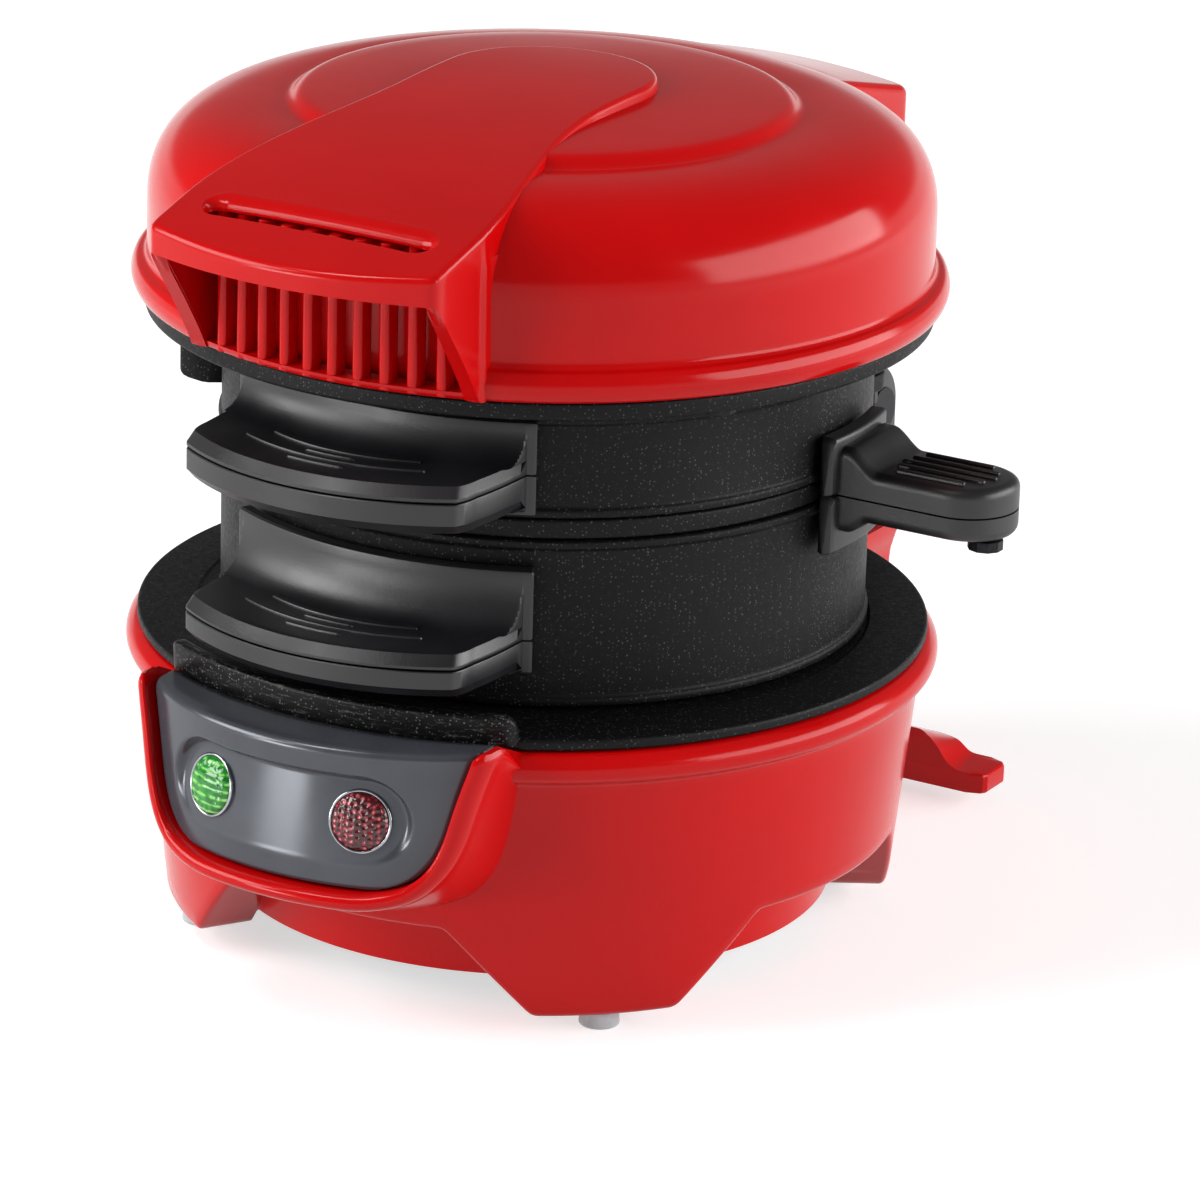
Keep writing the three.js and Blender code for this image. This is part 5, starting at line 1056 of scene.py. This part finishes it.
# %% [markdown]
# ## The lid's dome
# The lid is moulded in the same red. Its dome is a turned form: a rolled bead at the rim, a short
# wall, a shoulder that is flatter than a circle, and a raised disc with a soft step. Its inside is
# the same line moved in by the wall's thickness.

# %% Dome
DISC_R, SHOULDER_WIDE, SHOULDER_Z, SHOULDER_HIGH = 40.3, 22.16, 118.35, 15.92
LID_LOW, LID_WALL = 104.5, 2.4


def dome_line(inset, steps=40):
    """Shoulder: r = DISC_R + wide cos(t)^0.73, z = SHOULDER_Z + high sin(t)^0.85, moved in by inset."""
    t = np.linspace(0, np.pi / 2, steps)
    c, s = np.cos(t).clip(0), np.sin(t)
    return np.stack([DISC_R + SHOULDER_WIDE * c ** 0.73 - inset * c,
                     SHOULDER_Z + SHOULDER_HIGH * s ** 0.85 - inset * s], 1)


def crown(start_r, start_z, top_z, steps=14):
    """A shallow bowl: z = top - (top - start)(r / start)^2, from the disc's edge to the middle."""
    r = start_r * np.linspace(1, 0, steps)
    return np.stack([r, top_z - (top_z - start_z) * (r / start_r) ** 2], 1)


bead = rounded([(60.4, 106), (60.4, LID_LOW), (64.2, LID_LOW), (65.2, 106.9), (64.3, 109.2),
                (62.5, 109.5), (62.4, 118)], [0, 0.3, 0.9, 1.6, 0.8, 1.2, 0])[7:-7]
step_line = rounded([(42, 134.2), (DISC_R, 134.3), (38.6, 135.95), (36.5, 136.2)],
                    [0, 0.9, 1.1, 0], 8)[9:-9]
skin = np.vstack([bead, dome_line(0)[:-1], step_line, crown(37.0, 136.15, 137.4),
                  crown(39.0, 133.2, 134.9)[::-1], dome_line(LID_WALL)[::-1]])
dome = make_piece("lid_dome", [turned(skin, 256)], "lid", RED, ("lid_shell",), 40)
print("dome faces:", len(dome.data.polygons))

# %% [markdown]
# ## Strap and vented grip
# A strap rises over the disc, round at its rear, and widens forward into the grip, whose lip hangs
# over a row of vent slats. Its top follows one long parabola. The flanks flare a little as they fall,
# so they catch the light as a separate bright band. The cover function makes the whole thin shell.

# %% Strap and slot
STRAP_Z, STRAP_R, STRAP_HALF = 139.2, 17.6, 25.6
CHEEK_LOW, CHEEK_HIGH, CHEEK_FOOT_Y, CHEEK_RUN = 104.7, 17.6, -60.2, 12.1
SLOT = [(-17.3, -64.4, 3.5), (17.3, -64.4, 3.5)]


def strap_line(y):
    """The strap's middle line: z = STRAP_Z - (y - 4)^2 / 490."""
    return STRAP_Z - (y - 4) ** 2 / 490


def strap_top(x, y):
    """The middle line, and 0.5 mm lower at the edges."""
    return strap_line(y) - 0.5 * (x / STRAP_HALF) ** 2


turn = np.linspace(0, np.pi / 2, 24)
rear = np.stack([STRAP_R * np.sin(turn), STRAP_R * np.cos(turn)], 1)
side_y = np.concatenate([np.linspace(-1, -54, 44), np.linspace(-54.4, -70, 40)])
side = np.stack([STRAP_R + (STRAP_HALF - STRAP_R) * smooth_step(-side_y, 14, 62), side_y], 1)
corner = rounded([(STRAP_HALF, -69.5), (25.5, -72.6), (20, -74.4)], [0, 1.6, 0])[7:-7]
share = np.linspace(0.86, 0, 24)
lip = np.stack([STRAP_HALF * share, -77.3 + 4.9 * share ** 2], 1)
STRAP_PLAN = half_and_mirror(np.vstack([rear, side, corner, lip]))


def strap_bottom(y):
    """The lip's end, then the cheeks' foot, and behind y = -56 a line 5 mm under the top."""
    edge = CHEEK_LOW + CHEEK_HIGH * ((CHEEK_FOOT_Y - y) / CHEEK_RUN).clip(0, 1) ** 0.91
    return edge + (strap_line(y) - 5.0 - edge) * smooth_step(y, -56, -48)


def strap_draft(y, share):
    """The flank moves out a little as it falls, and a fine ridge runs down it in front of the dome."""
    ridge = 0.5 * np.exp(-((y + 59.2) / 0.75) ** 2) * smooth_step(share, 0, 0.2)
    return 0.4 * share ** 0.7 * smooth_step(y, -74, -52) * (1 - smooth_step(y, 6, 17)) + ridge


strap_skin = cover(STRAP_PLAN, strap_top, strap_bottom, 0.9, LID_WALL, strap_draft, 20)
strap = make_piece("lid_strap", [strap_skin], "lid", RED, (), 40)
cut_away(strap, [prism(hull_round(SLOT, 32), 120, 142, CRISP)])
print("strap faces:", len(strap.data.polygons))

# %% [markdown]
# ## The slot's wall
# The slot in the strap has a soft rolled edge, wide at the rear, that catches a line of light, and a
# short upright wall below it. A Bevel cannot be wider on one side of a cut, so the wall is a sheet
# that follows the slot's outline and takes its width from the place along it.

# %% Slot wall
def slot_rim(depth=1.8):
    """The slot's wall: it rolls in by 0.6 mm in front and 2.5 mm at the rear, as w sin t in and
    0.8 d (1 - cos t) down, runs on to the depth d and comes back up behind the strap's skin."""
    edge = hull_round(SLOT, 60)
    edge = along(np.vstack([edge, edge[:1]]), 241)[:-1]
    wide = 0.6 + 1.9 * smooth_step(edge[:, 1:], -65.5, -61)
    t = np.linspace(0, np.pi / 2, 12)
    inwards = np.concatenate([[-0.25], np.sin(t), [1.0]])[None] * wide
    inwards = np.concatenate([inwards, np.full((len(edge), 2), -0.5)], 1)
    down = np.concatenate([np.concatenate([[0.12], (1 - np.cos(t)) * 0.8, [1.0]]) * depth, [depth, 0.5]])
    flat = edge[:, None] - outward(edge)[:, None] * inwards[..., None]
    z = strap_top(flat[..., 0], flat[..., 1]) - down
    return grid(np.concatenate([flat, z[..., None]], 2), wrap_rows=True, wrap_cols=True)


make_piece("slot_rim", [slot_rim()], "lid", RED, (), 60)
print("slot wall ready")

# %% [markdown]
# ## Openings in the dome
# The disc and shoulder would stand through the strap where the strap is lower, so what lies above
# the strap's skin is cut away, and with it the window behind the vent slats. Both cuts use an exact
# Boolean, because the dome is otherwise a plain turned form. A curved baffle closes the view inwards.

# %% Cut the dome and add the baffle
CUT_TOP, SKIN_LEFT, CUT_ROUND = 146, 0.4, 0.3
points, quads, ends = cover(STRAP_PLAN, lambda x, y: SKIN_LEFT - strap_top(x, y),
                            lambda y: 0 * y - CUT_TOP, CUT_ROUND)
cut_away(dome, [(points * (0.985, 0.99, -1), quads, ends)])
cut_away(dome, [prism(oblong(-23.2, -75, 23.2, -50, 0.5), 105.9, 123.6, CRISP)])
baffle = oblong(57.2, 104.9, 58.8, 125, 0.3, 3)
make_piece("vent_baffle", [swept_arc(baffle, -25, 25, 60, 0.5)], "lid", RED, (), 40)

# %% [markdown]
# ## Vent slats and cheeks
# Ten slim bars stand between two cheeks below the lip. Their fronts follow a circle about the lid's
# axis, and their long corners are round, so each shows one soft line of light. The cheeks lean back
# as they fall. An array of one bar would need each copy set on the circle, so each is worked out.

# %% Slats and cheeks
SLAT_X = (np.arange(10) - 4.5) * 4.37
SLAT_HALF, SLAT_DEEP, SLAT_R = 0.9, 3.2, 64.6
CHEEK_OUT, CHEEK_IN, CHEEK_BACK, CHEEK_TOP, CHEEK_ROUND = 25.48, 23.1, -50, 126.5, 0.9


def slat(x):
    """A slim bar whose front lies on a circle, from the bead up into the grip."""
    front = -math.sqrt(SLAT_R ** 2 - x ** 2)
    plan = oblong(x - SLAT_HALF, front, x + SLAT_HALF, front + SLAT_DEEP, 0.7, 4)
    return prism(plan, 104.9, 127.6, CRISP)


def cheek(side):
    """Loops in plan, one for each height z: the front edge runs forward from the foot by
    CHEEK_RUN t^1.1 with t = (z - CHEEK_LOW) / CHEEK_HIGH, and is rounded at its outer corner."""
    z = np.linspace(CHEEK_LOW, CHEEK_TOP, 30)[:, None]
    front = CHEEK_FOOT_Y - CHEEK_RUN * ((z - CHEEK_LOW) / CHEEK_HIGH).clip(0, 1) ** 1.1
    outer_y = front + CHEEK_ROUND + (CHEEK_BACK - front - CHEEK_ROUND) * np.linspace(0, 1, 16)[None]
    t = np.linspace(0, np.pi / 2, 6)[None, :-1]
    nose_x = CHEEK_OUT - CHEEK_ROUND * (1 - np.sin(t)) + 0 * z
    nose_y = front + CHEEK_ROUND * (1 - np.cos(t))
    inner_x = np.array([[CHEEK_IN, CHEEK_IN, CHEEK_IN + 0.5]]) + 0 * z
    inner_y = np.concatenate([CHEEK_BACK + 0 * z, front + 0.5, front], 1)
    x = np.concatenate([inner_x, nose_x, CHEEK_OUT + 0 * outer_y], 1)
    y = np.concatenate([inner_y, nose_y, outer_y], 1)
    return loft(np.stack([side * x, y, z + 0 * x], -1))


make_piece("lid_slats", [slat(x) for x in SLAT_X] + [cheek(-1), cheek(1)], "lid", RED, (), 40)
print("slats:", len(SLAT_X))

# %% [markdown]
# ## The lid's tail
# Behind the disc the lid runs out into a wide tail that covers the hinge. Its top slopes down to the
# rear and is slightly arched across. In front it sinks into the dome, so its lower edge rises there.

# %% Tail
TAIL_HALF, TAIL_FRONT, TAIL_REAR, TAIL_FRONT_Z, TAIL_REAR_Z = 25.5, 40, 76, 133.4, 124.6


def tail_top(x, y):
    """Falls evenly to the rear, and the middle rises to 2.2 mm more there."""
    slope = (y - TAIL_FRONT) * (TAIL_FRONT_Z - TAIL_REAR_Z) / (TAIL_REAR - TAIL_FRONT)
    return TAIL_FRONT_Z - slope + 2.2 * smooth_step(y, 42, 58) * (1 - (x / TAIL_HALF) ** 2)


def tail_bottom(y):
    """Down to the rim behind the dome's wall; a few millimetres under the top inside it."""
    inside = TAIL_FRONT_Z - (y - TAIL_FRONT) * 0.2444 - 3.6
    return LID_LOW + (inside - LID_LOW) * (1 - smooth_step(y, 56.5, 60))


rear = rounded([(0, TAIL_REAR), (TAIL_HALF, TAIL_REAR), (TAIL_HALF, TAIL_FRONT), (0, TAIL_FRONT)],
               [0, 3.0, 0.4, 0], 8)
rear = rear[:rear[:, 1].argmin()]
side = np.stack([np.full(50, TAIL_HALF), np.linspace(70, 41, 50)], 1)
half = np.vstack([rear[rear[:, 1] > 70], side, [(25.3, 40.2), (25, TAIL_FRONT), (0, TAIL_FRONT)]])
tail_skin = cover(half_and_mirror(half), tail_top, tail_bottom, 1.3, LID_WALL, across=16)
tail = make_piece("lid_tail", [tail_skin], "lid", RED, (), 40)
print("tail faces:", len(tail.data.polygons))

# %% [markdown]
# ## Upper heating plate
# Under the lid sits a cast plate: a raised disc that presses into the upper ring and a wide flange
# that shows as a dark line below the red bead. It is a plain turned casting.

# %% Upper plate
upper = rounded([(0, 98.4), (51.8, 98.4), (51.8, 101.4), (62.8, 101.4), (62.8, 104.2), (52, 104.2),
                 (50.7, 102), (0, 102)], [0, 0.6, 0.5, 0.7, 0.5, 0.4, 0.4, 0])
make_piece("upper_plate", [turned(upper, 240)], "lid", COATED, ("upper_heating_plate",))
print("pieces so far:", len(pieces))

# %% [markdown]
# ## Parts that keep their measured form
# Screws, pins, heating loops, shields and the parts inside are already right as measured solids, so
# they stay and only get a finish. The screws and pins that show are blackened. Remaking any of them
# would add nothing that the eye can see.

# %% Finishes for the remaining nodes
dark = Finish("blackened_steel", Metallic=0.9)
dark.patches(0.8, 3, ((0.3, "#1B1B1D"), (0.7, "#2B2B2E")), ((0.3, 0.35), (0.7, 0.5)))
DARK = dark.material

FINISH_WORDS = (("grip_screw", DARK), ("lid_screw", DARK), ("pin", DARK), ("hinge_bracket", BLACK),
                ("thermostat", CREAM), ("terminal_block", CREAM), ("lamp_body", BLACK),
                ("cord_gland", BLACK), ("bottom_pan", BLACK))
for name, node in nodes.items():
    finish = next((finish for word, finish in FINISH_WORDS if word in name), STEEL)
    for number in range(len(node.data.materials)):
        node.data.materials[number] = finish
print("finished nodes:", len(nodes))

# %% [markdown]
# ## Table, air and lamps
# The photo's object stands in a pale studio: soft lamps at both sides, less light from the front,
# and a white table. The floor here is a plain matt sheet with a little light of its own for what the
# camera and reflections see, so it reads as white but keeps the soft shadow under the feet. That
# light of its own grows with the distance, as the lamps reach the far floor less. A curved paper
# sweep would do the same, but a flat floor is simpler and has no edge in the picture.

# %% White floor
def seen_rays(tree):
    """1 for a ray of the camera, of a reflection or through glass, and 0 for light on matt surfaces."""
    ray = add_node(tree, "ShaderNodeLightPath").outputs
    seen = ray["Is Camera Ray"]
    for kind in ("Is Glossy Ray", "Is Transmission Ray"):
        seen = add_node(tree, "ShaderNodeMath", {0: seen, 1: ray[kind]}, operation="MAXIMUM").outputs[0]
    return seen


FLOOR_HALF = 9000.0
sheet = FLOOR_HALF * np.array([(-1, -1, 0), (1, -1, 0), (1, 1, 0), (-1, 1, 0)])
paper = Finish("white_paper_floor", Roughness=0.9, Specular_IOR_Level=0.0, Emission_Color=(1, 1, 1, 1))
paper.patches(3, 2, ((0.3, 0.64), (0.7, 0.66)))
away = paper.add("ShaderNodeVectorMath", {0: paper.place}, operation="LENGTH")
own = paper.add("ShaderNodeMapRange", {"Value": away.outputs["Value"]},
                {"From Min": 250 * MM, "From Max": 1300 * MM, "To Min": 0.6, "To Max": 0.9})
glow = paper.add("ShaderNodeMath", {0: seen_rays(paper.tree), 1: own.outputs["Result"]},
                 operation="MULTIPLY")
paper.into("Emission Strength", glow)
floor = make_piece("floor", [(sheet, np.array([[0, 1, 2, 3]]), [])], None, paper.material)
print("floor ready")

# %% [markdown]
# ## The air around
# The camera and reflections see a world that is bright at the horizon and grey above, like white
# walls under a dim ceiling, so a low view still ends in white. What it sheds on matt surfaces is an
# even dim light, which leaves the modelling of the forms to the lamps.

# %% Air with a pale horizon
world = bpy.data.worlds.new("pale_studio_air")
scene.world = world
world.use_nodes = True
air = world.node_tree
HORIZON, SKY, EVEN = 1.0, 0.22, 0.14
way = add_node(air, "ShaderNodeTexCoord")
height = add_node(air, "ShaderNodeSeparateXYZ", {0: way.outputs["Generated"]})
fade = add_node(air, "ShaderNodeMapRange", {"Value": height.outputs["Z"]},
                {"From Min": 0.05, "From Max": 0.15, "To Min": HORIZON, "To Max": SKY},
                interpolation_type="SMOOTHSTEP")
level = add_node(air, "ShaderNodeMix", {0: seen_rays(air), 3: fade.outputs["Result"]}, {2: EVEN})
air.links.new(level.outputs[0], air.nodes["Background"].inputs["Strength"])
air.nodes["Background"].inputs["Color"].default_value = (1, 1, 1, 1)
print("air: horizon", HORIZON, "sky", SKY, "even light", EVEN)

# %% [markdown]
# ## Soft lamps
# A wide soft box at the right brightens the right flanks, and another stands at the left. A small one
# high at the front left draws the bright lines on the grips and edges, and a low one in front shows
# in the panel's recess. They are area lamps, because their size sets how wide a reflection is.

# %% Place the lamps
LIT_MIDDLE = np.array([0, 0, 70.0])


def soft_lamp(name, azimuth, elevation, reach, size, watts):
    """An area lamp that faces LIT_MIDDLE: its direction in degrees, its reach and its size in mm."""
    turn, rise = math.radians(azimuth), math.radians(elevation)
    way = np.array([math.sin(turn) * math.cos(rise), -math.cos(turn) * math.cos(rise), math.sin(rise)])
    lamp = bpy.data.objects.new(name, bpy.data.lights.new(name, "AREA"))
    lamp.data.shape, lamp.data.size, lamp.data.size_y = "RECTANGLE", size[0] * MM, size[1] * MM
    lamp.data.energy = watts
    lamp.matrix_world = (Matrix.Translation(to_frame(LIT_MIDDLE + way * reach))
                         @ Vector(way).to_track_quat("Z", "Y").to_matrix().to_4x4())
    scene.collection.objects.link(lamp)


soft_lamp("right_box", 111, 16, 1100, (1400, 560), 15.5)
soft_lamp("left_box", -50, 25, 1100, (640, 560), 9.5)
soft_lamp("high_box", -34, 58, 1100, (220, 220), 2.4)
soft_lamp("front_strip", -27, 2, 1000, (300, 190), 2.7)
scene.view_settings.view_transform = "Standard"

# %% [markdown]
# ## Pieces and polygons
# The dressed object has to stay as large as the measured one. The pieces made and their
# polygons are counted.

# %% Count pieces and polygons
print("pieces:", len(pieces), "polygons:", sum(len(piece.data.polygons) for piece in pieces.values()))
